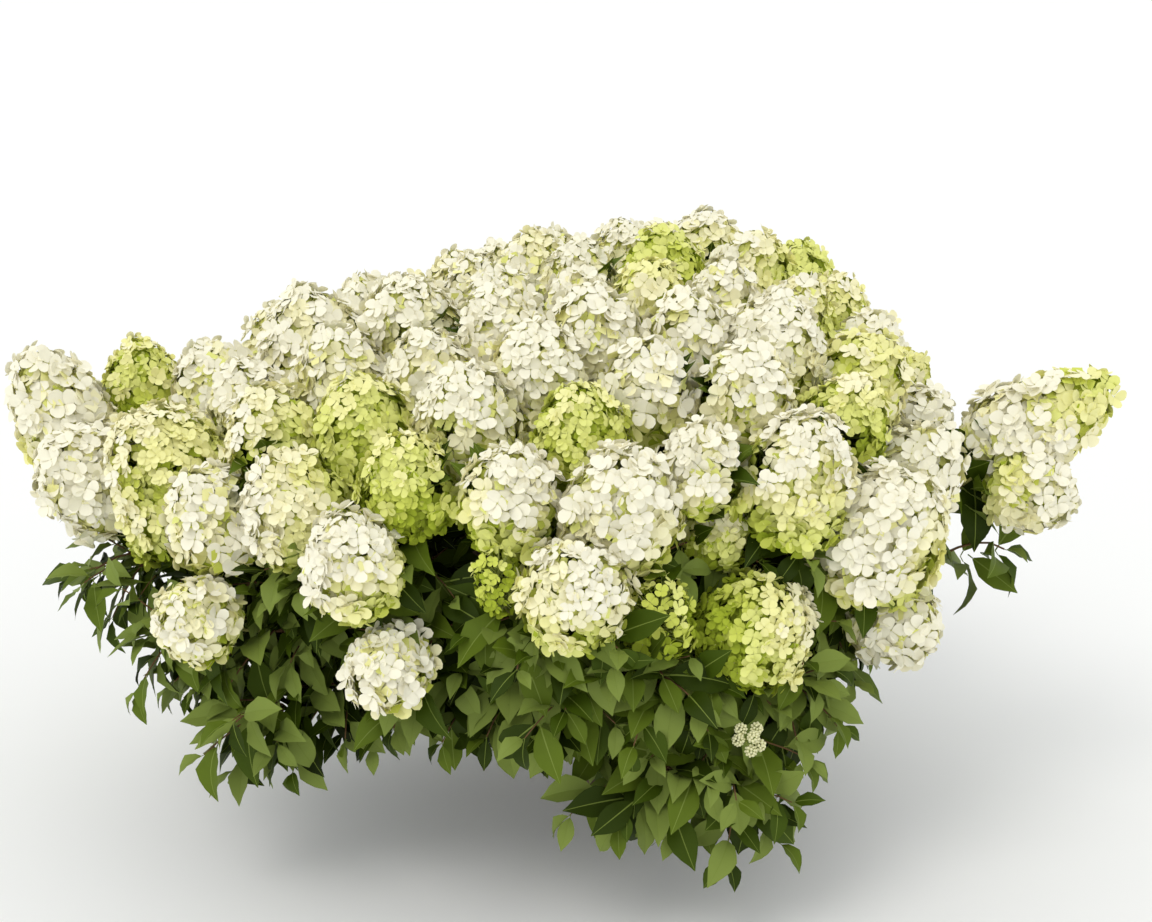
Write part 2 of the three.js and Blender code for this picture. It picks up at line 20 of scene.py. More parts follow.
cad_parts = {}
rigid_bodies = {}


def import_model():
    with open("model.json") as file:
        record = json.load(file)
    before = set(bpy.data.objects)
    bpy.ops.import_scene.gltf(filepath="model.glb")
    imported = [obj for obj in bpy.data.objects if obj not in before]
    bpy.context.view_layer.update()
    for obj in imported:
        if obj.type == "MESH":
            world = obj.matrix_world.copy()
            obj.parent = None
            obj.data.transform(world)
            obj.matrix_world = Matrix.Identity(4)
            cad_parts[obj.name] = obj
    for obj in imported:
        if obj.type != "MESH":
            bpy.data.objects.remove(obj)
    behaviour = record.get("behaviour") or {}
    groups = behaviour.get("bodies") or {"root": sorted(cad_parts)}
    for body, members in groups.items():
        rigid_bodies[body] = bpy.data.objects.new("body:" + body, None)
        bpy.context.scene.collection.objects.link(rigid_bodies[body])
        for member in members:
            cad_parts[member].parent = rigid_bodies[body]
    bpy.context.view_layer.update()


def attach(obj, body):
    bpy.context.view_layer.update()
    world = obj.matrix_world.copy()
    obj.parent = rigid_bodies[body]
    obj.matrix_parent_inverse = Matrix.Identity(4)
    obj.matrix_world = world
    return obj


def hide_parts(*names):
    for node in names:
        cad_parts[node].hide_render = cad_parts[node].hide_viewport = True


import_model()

LOG = logging.getLogger("hydrangea")
MM = 0.001
UP = np.array([0.0, 0.0, 1.0])
ACROSS = np.array([1.0, 0.0, 0.0])
STEEP = 0.9
FAR_OFF = 1e9
MASK = 0xFFFFFFFF
GOLDEN_ANGLE = math.pi * (3 - math.sqrt(5))
TURN = 2 * math.pi
Draw = Callable[[], float]
Relief = Callable[[float, float], float]
Point = tuple[float, float, float]
Face = tuple[int, ...]
Stance = tuple[np.ndarray, np.ndarray]


def unit(vector: np.ndarray) -> np.ndarray:
    """Give a vector, or each row of vectors, a length of one."""
    return vector / np.linalg.norm(vector, axis=-1, keepdims=True)


def vec(values: Sequence[float]) -> np.ndarray:
    """Turn numbers into a vector."""
    return np.array(values, float)


def apart(one: np.ndarray, other: np.ndarray) -> float:
    """Give the distance between two points."""
    return float(np.linalg.norm(one - other))


def between(span: Sequence[float], share: float) -> float:
    """Give the value at a share of the way from the first end of a span to the second."""
    return span[0] + (span[1] - span[0]) * share


def line(start_and_rise: Sequence[float], share: float) -> float:
    """Give the height of a straight line at a share of its length."""
    return start_and_rise[0] + start_and_rise[1] * share


def clamped(value: float) -> float:
    """Keep a value from 0 to 1."""
    return max(0.0, min(1.0, value))


def step_of(value: float, count: int) -> int:
    """Give which of so many equal steps a value from 0 to 1 is in, or the nearest of them."""
    return max(0, min(count - 1, int(value * count)))


def swing(draw: Draw, width: float) -> float:
    """Draw a number up to half a width below or above zero."""
    return (draw() - 0.5) * width


def jolt(draw: Draw) -> np.ndarray:
    """Draw three numbers from -0.5 to 0.5."""
    return np.array([draw(), draw(), draw()]) - 0.5


def compass(angle: float) -> tuple[np.ndarray, np.ndarray]:
    """Give the level direction at an angle from +X, and the one to its left."""
    ahead = np.array([math.cos(angle), math.sin(angle), 0.0])
    return ahead, np.array([-ahead[1], ahead[0], 0.0])


def around(sides: tuple[np.ndarray, np.ndarray], angle: float) -> np.ndarray:
    """Give the direction at an angle from the first of two directions towards the second."""
    return sides[0] * math.cos(angle) + sides[1] * math.sin(angle)


def seeded(seed: int) -> Draw:
    """Give a stream of numbers from 0 to 1, the same one as in the solids' source.

    Args:
        seed: any whole number, for which the stream repeats.

    Returns:
        A function whose calls give the stream.
    """
    state = seed & MASK

    def draw() -> float:
        """Draw the next number.

        Returns:
            The number.
        """
        nonlocal state
        state = (state + 0x6D2B79F5) & MASK
        mix = ((state ^ (state >> 15)) * (state | 1)) & MASK
        mix = (mix ^ ((mix + (((mix ^ (mix >> 7)) * (mix | 61)) & MASK)) & MASK)) & MASK
        return ((mix ^ (mix >> 14)) & MASK) / 2**32

    return draw


def square(axis: np.ndarray, wanted: np.ndarray) -> tuple[np.ndarray, np.ndarray]:
    """Find two directions of length one square to an axis.

    Args:
        axis: a direction of length one.
        wanted: the direction that the first is to be as near to as it can.

    Returns:
        The two directions.
    """
    side = unit(wanted - axis * float(wanted @ axis))
    return side, np.cross(axis, side)


def not_steep(way: np.ndarray) -> np.ndarray:
    """Give the upward direction, or one across where a way runs too nearly up."""
    return ACROSS if abs(way[2]) > STEEP else UP


def not_across(way: np.ndarray) -> np.ndarray:
    """Give the direction across, or the upward one where a way runs too nearly across."""
    return UP if abs(way[0]) > STEEP else ACROSS


def arc(start: np.ndarray, start_way: np.ndarray, end: np.ndarray, end_way: np.ndarray, bow: float,
        steps: int) -> np.ndarray:
    """Draw a path that leaves one point one way and comes to another point another way.

    Args:
        start: the first point.
        start_way: the way in which the path leaves it.
        end: the last point.
        end_way: the way in which the path comes to it.
        bow: how far the ways are held, as a share of the distance.
        steps: the number of straight runs.

    Returns:
        The points of the path, one more than its runs.
    """
    pull = apart(end, start) * bow
    t = np.linspace(0, 1, steps + 1)[:, None]
    near, far = start + start_way * pull, end - end_way * pull
    return ((1 - t) ** 3 * start + 3 * (1 - t) ** 2 * t * near + 3 * (1 - t) * t**2 * far
            + t**3 * end)


def along(path: np.ndarray, share: float) -> tuple[np.ndarray, np.ndarray]:
    """Find a point on a path of straight runs.

    Args:
        path: the path's points.
        share: how far along it, from 0 to 1.

    Returns:
        The point, and the way that the path goes there.
    """
    runs = len(path) - 1
    run = min(runs - 1, int(share * runs))
    step = path[run + 1] - path[run]
    return path[run] + step * (share * runs - run), unit(step)


def pushed_apart(points: np.ndarray, room: float, push: float) -> np.ndarray:
    """Move points away from those that are too near.

    Args:
        points: the points, one a row.
        room: the distance within which two of them push each other.
        push: how much of what is missing each moves by.

    Returns:
        The moved points.
    """
    gap = points[:, None] - points[None]
    far = np.linalg.norm(gap, axis=2) + np.eye(len(points)) * FAR_OFF
    force = np.where(far < room, (room - far) / far * push, 0)
    return points + (gap * force[:, :, None]).sum(1)


class Slot(Enum):
    """The material slots of the record."""

    BARK = "bark"
    BLOOM = "foliage_and_blossom"


def settle(piece: bpy.types.Object, slot: Slot, solids: Sequence[str] = ()) -> None:
    """Args:
        piece: the finished piece, which rides the one rigid body.
        slot: the material slot that it stands for; not used.
        solids: the nodes of the solids that it replaces.
    """
    if solids:
        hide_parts(*solids)
    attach(piece, "root")


class Kind(Enum):
    """Where on the shrub a mass grows."""

    CROWN = "crown"
    SKIRT = "skirt"
    WING = "wing"


@dataclass(eq=False)
class Mass:
    """One mass: its middle, the bough that comes to it and the spur that its twigs leave."""

    name: str
    kind: Kind
    middle: np.ndarray
    azimuth: float = 0.0
    start: np.ndarray = field(init=False)
    base: np.ndarray = field(init=False)
    tip: np.ndarray = field(init=False)
    aim: np.ndarray = field(init=False)
    way: np.ndarray = field(init=False)
    root: np.ndarray = field(init=False)
    hub: np.ndarray = field(init=False)
    bough: np.ndarray = field(init=False)
    spur: np.ndarray = field(init=False)


@dataclass(eq=False)
class Head:
    """One flower head, a rounded cone of florets."""

    at: np.ndarray
    axis: np.ndarray
    length: float
    width: float
    leafy: bool = True
    stray: bool = False
    mass: Optional[Mass] = None
    lime: float = 0.2
    slope: np.ndarray = field(default_factory=lambda: np.zeros(3))
    open: float = 1.0


@dataclass(eq=False)
class Twig:
    """One twig, from its mass's spur to a head's foot or to a leafy tip."""

    to: np.ndarray
    way: np.ndarray
    mass: Mass
    seed: int
    head: Optional[Head] = None
    start: np.ndarray = field(init=False)
    start_way: np.ndarray = field(init=False)
    path: np.ndarray = field(init=False)


@dataclass(frozen=True)
class Dome:
    """The flattened, tilted dome on which the flower heads sit."""

    heart: Point = (-35, 0, 398)
    reach: tuple[float, ...] = (400, 430, 430, 470, 640, 570, 450, 440)
    rims: tuple[float, ...] = (78, 78, 78, 78, 78, 71, 76, 81)
    rise: float = 278
    squareness: float = 2.2
    tilt: float = 0.15
    tilt_azimuth: float = math.radians(42)
    rounds: int = 60
    push: float = 0.25
    first_azimuth: float = 0.4
    jitter: float = 0.2
    probe: float = 0.01

    def around(self, values: Sequence[float], azimuth: float) -> float:
        """Ease between values given every 45 degrees.

        Args:
            values: eight values, anticlockwise from +X.
            azimuth: the angle in radians.

        Returns:
            The value at that angle.
        """
        eighths = (azimuth / (math.pi / 4)) % 8
        first = int(eighths)
        ease = (1 - math.cos(math.pi * (eighths - first))) / 2
        return values[first % 8] * (1 - ease) + values[(first + 1) % 8] * ease

    def rim(self, azimuth: float) -> float:
        """Give the polar angle of the lowest heads at an azimuth."""
        return math.radians(self.around(self.rims, azimuth))

    def lift(self, point: np.ndarray) -> float:
        """Give how far the tilt raises a point."""
        uphill = point[0] * math.cos(self.tilt_azimuth) + point[1] * math.sin(self.tilt_azimuth)
        return self.tilt * float(uphill)

    def point(self, azimuth: float, polar: float) -> np.ndarray:
        """Find a point of the dome.

        Args:
            azimuth: its angle round the upward axis.
            polar: its angle from the upward axis.

        Returns:
            The point as seen from the dome's heart.
        """
        across = math.sin(polar) / self.around(self.reach, azimuth)
        rise = math.cos(polar) / self.rise
        total = abs(across) ** self.squareness + abs(rise) ** self.squareness
        way = np.array([math.cos(azimuth) * math.sin(polar), math.sin(azimuth) * math.sin(polar),
                        math.cos(polar)])
        found = way * total ** (-1 / self.squareness)
        found[2] += self.lift(found)
        return found

    def rim_point(self, azimuth: float) -> np.ndarray:
        """Give the point of the dome where its lowest heads are."""
        return self.point(azimuth, self.rim(azimuth))

    def locate(self, point: np.ndarray) -> tuple[float, float, np.ndarray]:
        """Find where round the dome a point is.

        Args:
            point: the point.

        Returns:
            Its azimuth, its distance from the upward axis, and the rim's point at its azimuth.
        """
        seen = point - vec(self.heart)
        azimuth = math.atan2(seen[1], seen[0])
        return azimuth, math.hypot(seen[0], seen[1]), self.rim_point(azimuth)

    def normal(self, azimuth: float, polar: float) -> np.ndarray:
        """Find the way out of the dome at a point.

        Args:
            azimuth: the point's angle round the upward axis.
            polar: its angle from the upward axis.

        Returns:
            A direction of length one.
        """
        step = self.probe
        down = self.point(azimuth, polar + step) - self.point(azimuth, polar - step)
        across = self.point(azimuth + step, polar) - self.point(azimuth - step, polar)
        return unit(np.cross(down, across))

    def spread(self, count: int, room: float, seed: int) -> list[tuple[float, float]]:
        """Spread spots over the dome: a golden-angle spiral, then rounds of pushing apart.

        Args:
            count: how many spots.
            room: the distance within which two spots push each other.
            seed: what the small jitter of the spiral repeats for.

        Returns:
            Each spot's azimuth and polar angle.
        """
        draw = seeded(seed)
        spots = []
        for i in range(count):
            azimuth = i * GOLDEN_ANGLE + self.first_azimuth + (draw() - 0.5) * self.jitter
            polar = math.acos(1 - (i + 0.5) / count * (1 - math.cos(self.rim(azimuth))))
            spots.append((azimuth, polar))
        for _ in range(self.rounds):
            points = pushed_apart(np.array([self.point(*spot) for spot in spots]), room, self.push)
            spots = []
            for point in points:
                point[2] -= self.lift(point)
                azimuth = math.atan2(point[1], point[0])
                polar = math.atan2(math.hypot(point[0], point[1]), point[2])
                spots.append((azimuth, min(self.rim(azimuth), polar)))
        return spots


@dataclass
class Growth:
    """The growth rule of the solids, with the same named sizes in millimetres."""

    dome: Dome = field(default_factory=Dome)
    crown_heads: int = 72
    head_seeds: tuple[int, int] = (11, 21)
    head_room: float = 142
    head_length: float = 152
    head_width: float = 136
    head_sizes: tuple[float, float] = (0.8, 1.16)
    head_gap: float = 3
    wing_press: float = 30
    head_upright: float = 0.6
    leafy_polar: float = math.radians(52)
    stray_room: float = 0.34
    stray_heads: tuple[tuple, ...] = (
        ((525, -40, 530), (0.86, 0, 0.5), 225, 130),
        ((512, -85, 455), (0.6, -0.2, -0.2), 120, 122),
        ((-715, 0, 540), (-0.35, 0, 0.95), 160, 112),
        ((-655, -110, 482), (-0.5, -0.5, 0.5), 145, 138),
        ((-620, 70, 548), (-0.1, 0.1, 0.95), 150, 120),
        ((-500, -330, 372), (-0.4, -0.8, 0.35), 104, 112),
        ((-268, -425, 345), (-0.2, -0.9, 0.2), 96, 112),
        ((325, -262, 350), (0.6, -0.75, 0.1), 104, 104),
        ((150, -350, 386), (0.3, -0.6, 0.7), 122, 138),
        ((106, -292, 482), (0.1, -0.5, 0.8), 96, 108),
        ((-140, -395, 462), (-0.1, -0.4, 0.9), 124, 76),
        ((37, -385, 414), (0.1, -0.4, 0.9), 108, 78),
        ((140, -412, 275), (0.3, -0.8, 0.5), 46, 50),
    )
    trimmed: tuple[tuple, ...] = (
        ((-500, -330, 372), (-0.35, -0.7, 0.6), 0.84, 0.88),
        ((-268, -425, 345), (-0.2, -0.6, 0.7), 0.84, 0.76),
        ((-303, -392, 486), (), 0.86, 0.88),
    )
    crown_masses: int = 12
    mass_seed: int = 5
    crown_room: float = 330
    skirt_masses: int = 8
    skirt_share: float = 0.8
    skirt_drop: float = 150
    wings: tuple[tuple, ...] = (("right_wing", (470, -50, 440)), ("left_wing", (-610, -20, 470)))
    fork: Point = (5, 3, 62)
    stem_top_radius: float = 38
    joint_gap: float = 0.35
    skirt_fork_share: float = 0.42
    fork_share: float = 0.56
    hub_share: float = 0.82
    start_lowest: float = math.radians(82)
    start_splay: float = 1.2
    start_room: float = 0.5
    start_rounds: int = 60
    start_push: float = 0.3
    bough_radii: tuple[float, float] = (7, 5)
    bough_steps: int = 4
    bough_bow: float = 0.38
    spur_bow: float = 0.3
    spur_steps: int = 2
    twig_base: float = 4
    twig_bow: float = 0.33
    twig_splay: float = 1.3
    twig_steps: int = 2
    twig_sink: float = 6
    twig_first: float = 0.15
    stalk_seed: int = 500
    clearance: float = 2
    balls_per_path: int = 16
    head_balls: tuple[tuple[float, float], ...] = ((-0.25, 0.46), (0, 0.48), (0.3, 0.33))
    free_share: float = 0.2
    shoots_per_mass: int = 4
    shoot_seeds: tuple[int, int, int] = (2000, 20, 3000)
    shoot_turn: float = 0.618
    shoot_spread: float = math.radians(40)
    shoot_foot: tuple[float, ...] = (260, 235, 215, 230, 300, 255, 255, 225)
    shoot_head_room: float = 66
    shoot_out: tuple[float, float] = (0.7, 0.94)
    shoot_droop: float = 0.7
    stray_shoots: tuple[tuple, ...] = (
        ((140, -385, 180), (0.3, -0.6, -0.55)),
        ((45, -390, 215), (-0.2, -0.7, -0.6)),
        ((-455, -310, 245), (-0.5, -0.5, -0.5)),
        ((485, -60, 365), (0.7, -0.1, -0.5)),
        ((-650, -130, 366), (-0.7, -0.3, -0.5)),
        ((-560, -235, 325), (-0.6, -0.5, -0.4)),
        ((-520, -200, 290), (-0.6, -0.4, -0.5)),
        ((-430, -260, 225), (-0.3, -0.5, -0.7)),
        ((-60, -400, 330), (-0.1, -0.9, 0)),
        ((40, -395, 345), (0.1, -0.9, 0)),
        ((215, -330, 300), (0.6, -0.7, 0)),
    )
    masses: list[Mass] = field(default_factory=list)
    heads: list[Head] = field(default_factory=list)
    stalks: list[Twig] = field(default_factory=list)
    shoots: list[Twig] = field(default_factory=list)

    def grow(self) -> None:
        """Grow masses, heads, the stalks of the heads and the leafy shoots, in that order."""
        self.grow_masses()
        self.grow_heads()
        for head in self.heads:
            head.mass = self.nearest_mass(head.at)
        self.shrink_heads()
        self.stalks = [
            Twig(head.at + head.axis * (self.twig_sink - head.length / 2), head.axis, head.mass,
                 self.stalk_seed + i, head)
            for i, head in enumerate(self.heads)
        ]
        shoots = self.shoot_targets()
        self.give_twigs(self.stalks + shoots)
        self.keep_clear_shoots(shoots)
        self.trim_heads()
        LOG.info("growth: %d masses, %d heads, %d of %d shoots", len(self.masses), len(self.heads),
                 len(self.shoots), len(shoots))

    def grow_masses(self) -> None:
        """Place the masses, and give each its bough and its spur."""
        dome, heart, fork = self.dome, vec(self.dome.heart), vec(self.fork)
        for i, spot in enumerate(dome.spread(self.crown_masses, self.crown_room, self.mass_seed)):
            self.masses.append(Mass(f"crown_{i + 1}", Kind.CROWN, dome.point(*spot) + heart))
        for i in range(self.skirt_masses):
            azimuth = (i + 0.5) * TURN / self.skirt_masses
            middle = dome.rim_point(azimuth)
            middle[:2] *= self.skirt_share
            middle[2] -= self.skirt_drop
            self.masses.append(Mass(f"skirt_{i + 1}", Kind.SKIRT, middle + heart, azimuth))
        self.masses += [Mass(name, Kind.WING, vec(middle)) for name, middle in self.wings]
        starts = self.start_ways(np.array([mass.middle - fork for mass in self.masses]))
        for mass, start in zip(self.masses, starts):
            far = apart(mass.middle, fork)
            mass.aim = (mass.middle - fork) / far
            mass.start = start
            share = self.skirt_fork_share if mass.kind is Kind.SKIRT else self.fork_share
            mass.base = fork + start * (self.stem_top_radius + self.joint_gap)
            mass.tip = fork + mass.aim * far * share
            mass.bough = arc(mass.base, start, mass.tip, mass.aim, self.bough_bow, self.bough_steps)
            mass.way = unit(mass.tip - mass.bough[-2])
            mass.root = mass.tip + mass.way * self.joint_gap
            mass.hub = fork + mass.aim * far * self.hub_share
            mass.spur = arc(mass.root, mass.way, mass.hub, mass.aim, self.spur_bow, self.spur_steps)

    def start_ways(self, aims: np.ndarray) -> np.ndarray:
        """Find the ways in which boughs leave the stem's rounded top.

        Args:
            aims: from the fork to each mass's middle.

        Returns:
            One direction a mass, lower than its aim and with room between any two.
        """
        ways = []
        for aim in aims:
            polar = math.acos(aim[2] / np.linalg.norm(aim)) * self.start_splay
            polar = min(self.start_lowest, polar)
            ways.append([*(unit(aim[:2]) * math.sin(polar)), math.cos(polar)])
        found = np.array(ways)
        for _ in range(self.start_rounds):
            found = pushed_apart(found, self.start_room, self.start_push)
            found[:, 2] = np.maximum(found[:, 2], math.cos(self.start_lowest))
            found = unit(found)
        return found

    def grow_heads(self) -> None:
        """Place the heads of the dome, and the stray ones, which crowd some of the dome's out."""
        dome_seed, size_seed = self.head_seeds
        draw = seeded(size_seed)
        for azimuth, polar in self.dome.spread(self.crown_heads, self.head_room, dome_seed):
            size = between(self.head_sizes, draw())
            axis = unit(self.dome.normal(azimuth, polar) + UP * self.head_upright)
            at = self.dome.point(azimuth, polar) + vec(self.dome.heart)
            self.heads.append(Head(at, axis, self.head_length * size, self.head_width * size,
                                   polar > self.leafy_polar))
        for at, lean, length, width in self.stray_heads:
            stray = Head(vec(at), unit(vec(lean)), length, width, stray=True)
            room = self.stray_room * (self.head_width + width)
            self.heads = [
                head for head in self.heads if head.stray or apart(head.at, stray.at) >= room
            ]
            self.heads.append(stray)

    def nearest_mass(self, point: np.ndarray) -> Mass:
        """Give the mass whose middle is nearest to a point."""
        return min(self.masses, key=lambda mass: apart(mass.middle, point))

    @staticmethod
    def bulk(head: Head, way: np.ndarray) -> float:
        """Measure a head's half size in a direction.

        Args:
            head: the head.
            way: the direction, of length one.

        Returns:
            The half size.
        """
        cosine = float(way @ head.axis)
        aside = math.sqrt(max(0.0, 1 - cosine**2)) / (head.width / 2)
        return 1 / math.hypot(abs(cosine) / (head.length / 2), aside)

    def shrink_heads(self) -> None:
        """Shrink each head until it clears its neighbours."""
        scales = []
        for head in self.heads:
            scale = 1.0
            for other in self.heads:
                if other is head:
                    continue
                far = apart(other.at, head.at)
                way = (other.at - head.at) / far
                pressed = other.mass is head.mass and head.mass.kind is Kind.WING
                room = far + (self.wing_press if pressed else -self.head_gap)
                scale = min(scale, room / (self.bulk(head, way) + self.bulk(other, way)))
            scales.append(scale)
        for head, scale in zip(self.heads, scales):
            head.length *= scale
            head.width *= scale

    def shoot_targets(self) -> list[Twig]:
        """Find the leafy shoots of the skirt and the stray ones.

        Returns:
            The shoots, before they are tested.
        """
        first_seed, seed_step, stray_seed = self.shoot_seeds
        heart = self.dome.heart
        targets = []
        for k, mass in enumerate(self.masses):
            if mass.kind is not Kind.SKIRT:
                continue
            for i in range(self.shoots_per_mass):
                share = (i + 0.5) / self.shoots_per_mass
                azimuth = mass.azimuth + ((i * self.shoot_turn) % 1 - 0.5) * self.shoot_spread
                rim = self.dome.rim_point(azimuth)
                foot = self.dome.around(self.shoot_foot, azimuth)
                height = foot + (heart[2] + rim[2] - self.shoot_head_room - foot) * share
                out = between(self.shoot_out, share)
                to = np.array([heart[0] + rim[0] * out, heart[1] + rim[1] * out, height])
                flat = unit(np.array([rim[0], rim[1], 0.0]))
                way = unit(flat + UP * self.shoot_droop * (share - 1))
                targets.append(Twig(to, way, mass, first_seed + k * seed_step + i))
        for i, (tip, way) in enumerate(self.stray_shoots):
            to = vec(tip)
            targets.append(Twig(to, unit(vec(way)), self.nearest_mass(to), stray_seed + i))
        return targets

    def give_twigs(self, targets: list[Twig]) -> None:
        """Let each twig leave its mass's spur in turn, those that reach far aside low down.

        Args:
            targets: every twig, with the point and the way that it ends in.
        """

        def rank(twig: Twig) -> float:
            """Find where in the order of its mass a twig leaves the spur.

            Args:
                twig: the twig.

            Returns:
                A number that is lower for those that leave first.
            """
            aim = twig.to - twig.mass.root
            ahead = float(aim @ twig.mass.way)
            return ahead - math.sqrt(max(0.0, float(aim @ aim) - ahead**2))

        for mass in self.masses:
            own = sorted((twig for twig in targets if twig.mass is mass), key=rank)
            for i, twig in enumerate(own):
                place = self.twig_first + (1 - self.twig_first) * (i + 0.5) / len(own)
                twig.start, _ = along(mass.spur, place)
                aim = twig.to - twig.start
                aside = unit(aim - mass.way * float(aim @ mass.way))
                twig.start_way = unit(aside * self.twig_splay + mass.way)
                twig.path = arc(twig.start, twig.start_way, twig.to, twig.way, self.twig_bow,
                                self.twig_steps)

    def keep_clear_shoots(self, shoots: list[Twig]) -> None:
        """Keep the shoots that clear boughs, heads and other masses beyond their free first part.

        Args:
            shoots: the shoots to test, in order.
        """
        balls: list[tuple] = []

        def fill(path: np.ndarray, radius: float, mass: Mass, hard: bool) -> None:
            """Mark the room that a path takes up.

            Args:
                path: the path.
                radius: how thick it is.
                mass: the mass that it belongs to.
                hard: whether the shoots of its own mass keep clear of it too.
            """
            for i in range(self.balls_per_path + 1):
                balls.append((along(path, i / self.balls_per_path)[0], radius, mass, hard))

        for head in self.heads:
            for up, share in self.head_balls:
                middle = head.at + head.axis * up * head.length
                balls.append((middle, head.width * share, head.mass, True))
        for mass in self.masses:
            fill(mass.bough, self.bough_radii[0], mass, True)
            fill(mass.spur, self.bough_radii[1], mass, False)
        for twig in self.stalks:
            fill(twig.path, self.twig_base, twig.mass, False)
        for twig in shoots:
            tested = 1 - self.free_share
            points = np.array([
                along(twig.path, self.free_share + tested * i / self.balls_per_path)[0]
                for i in range(self.balls_per_path + 1)
            ])
            counted = [
                (at, radius) for at, radius, mass, hard in balls if hard or mass is not twig.mass
            ]
            places, radii = (np.array(values) for values in zip(*counted))
            least = (np.linalg.norm(points[:, None] - places[None], axis=2) - radii).min()
            if least >= self.twig_base + self.clearance:
                self.shoots.append(twig)
                fill(twig.path, self.twig_base, twig.mass, False)

    def trim_heads(self) -> None:
        """Make a few low heads smaller than in the solids, some turned up, each on its own foot."""
        for place, way, wide, tall in self.trimmed:
            head = min(self.heads, key=lambda head: apart(head.at, vec(place)))
            foot = head.at - head.axis * head.length / 2
            head.axis = unit(vec(way)) if way else head.axis
            head.width *= wide
            head.length *= tall
            head.at = foot + head.axis * head.length / 2


def linear(colour: Sequence[float]) -> tuple[float, ...]:
    """Turn a colour in display values into a linear one.

    Args:
        colour: three values from 0 to 255.

    Returns:
        The linear values from 0 to 1, and full opacity.
    """
    parts = [part / 255 for part in colour]
    parts = [part / 12.92 if part <= 0.04045 else ((part + 0.055) / 1.055) ** 2.4 for part in parts]
    return (*parts, 1.0)


def preset(node: bpy.types.Node, values: dict[str, object]) -> None:
    """Set some of a node's inputs by their names."""
    for name, value in values.items():
        node.inputs[name].default_value = value


def wire(tree: bpy.types.NodeTree, *links: tuple) -> None:
    """Link nodes, each link given as a node, its output, another node and its input."""
    for source, output, target, entry in links:
        tree.links.new(source.outputs[output], target.inputs[entry])


def linked(made: bpy.types.Object) -> bpy.types.Object:
    """Put an object in the scene, and give it back."""
    bpy.context.scene.collection.objects.link(made)
    return made


@dataclass(frozen=True)
class PlainFinish:
    """A finish of one colour all over, in display values."""

    name: str
    colour: Point
    roughness: float = 0.6
    gloss: float = 0.12

    def make(self) -> bpy.types.Material:
        """Make the material.

        Returns:
            The material.
        """
        material = bpy.data.materials.new(self.name)
        material.use_nodes = True
        preset(material.node_tree.nodes["Principled BSDF"], {
            "Base Color": linear(self.colour), "Roughness": self.roughness,
            "Specular IOR Level": self.gloss,
        })
        return material


@dataclass(frozen=True)
class BarkFinish:
    """Dry, finely cracked bark, streaked along the wood."""

    name: str
    colours: tuple[Point, Point]
    stops: tuple[float, float] = (0.35, 0.68)
    streak: float = 90.0
    stretch: float = 0.18
    detail: float = 6.0
    roughness: float = 0.85
    relief: float = 0.5

    def make(self) -> bpy.types.Material:
        """Make the material, its pattern on the piece's own place in space.

        Returns:
            The material.
        """
        material = bpy.data.materials.new(self.name)
        material.use_nodes = True
        tree = material.node_tree
        shader = tree.nodes["Principled BSDF"]
        place, stretch, grain, ramp, bump = (tree.nodes.new("ShaderNode" + kind) for kind in (
            "TexCoord", "Mapping", "TexNoise", "ValToRGB", "Bump"))
        preset(shader, {"Roughness": self.roughness})
        preset(stretch, {"Scale": (1.0, 1.0, self.stretch)})
        preset(grain, {"Scale": self.streak, "Detail": self.detail})
        preset(bump, {"Strength": self.relief, "Distance": MM})
        for stop, at, colour in zip(ramp.color_ramp.elements, self.stops, self.colours):
            stop.position = at
            stop.color = linear(colour)
        wire(tree, (place, "Object", stretch, "Vector"), (stretch, "Vector", grain, "Vector"),
             (grain, "Fac", ramp, "Fac"), (ramp, "Color", shader, "Base Color"),
             (grain, "Fac", bump, "Height"), (bump, "Normal", shader, "Normal"))
        return material


@dataclass(frozen=True)
class Gauge:
    """How one kind of limb is made: its radii at both ends, its bow, its runs and its sides."""

    radii: tuple[float, float]
    bow: float
    runs: int
    sides: int


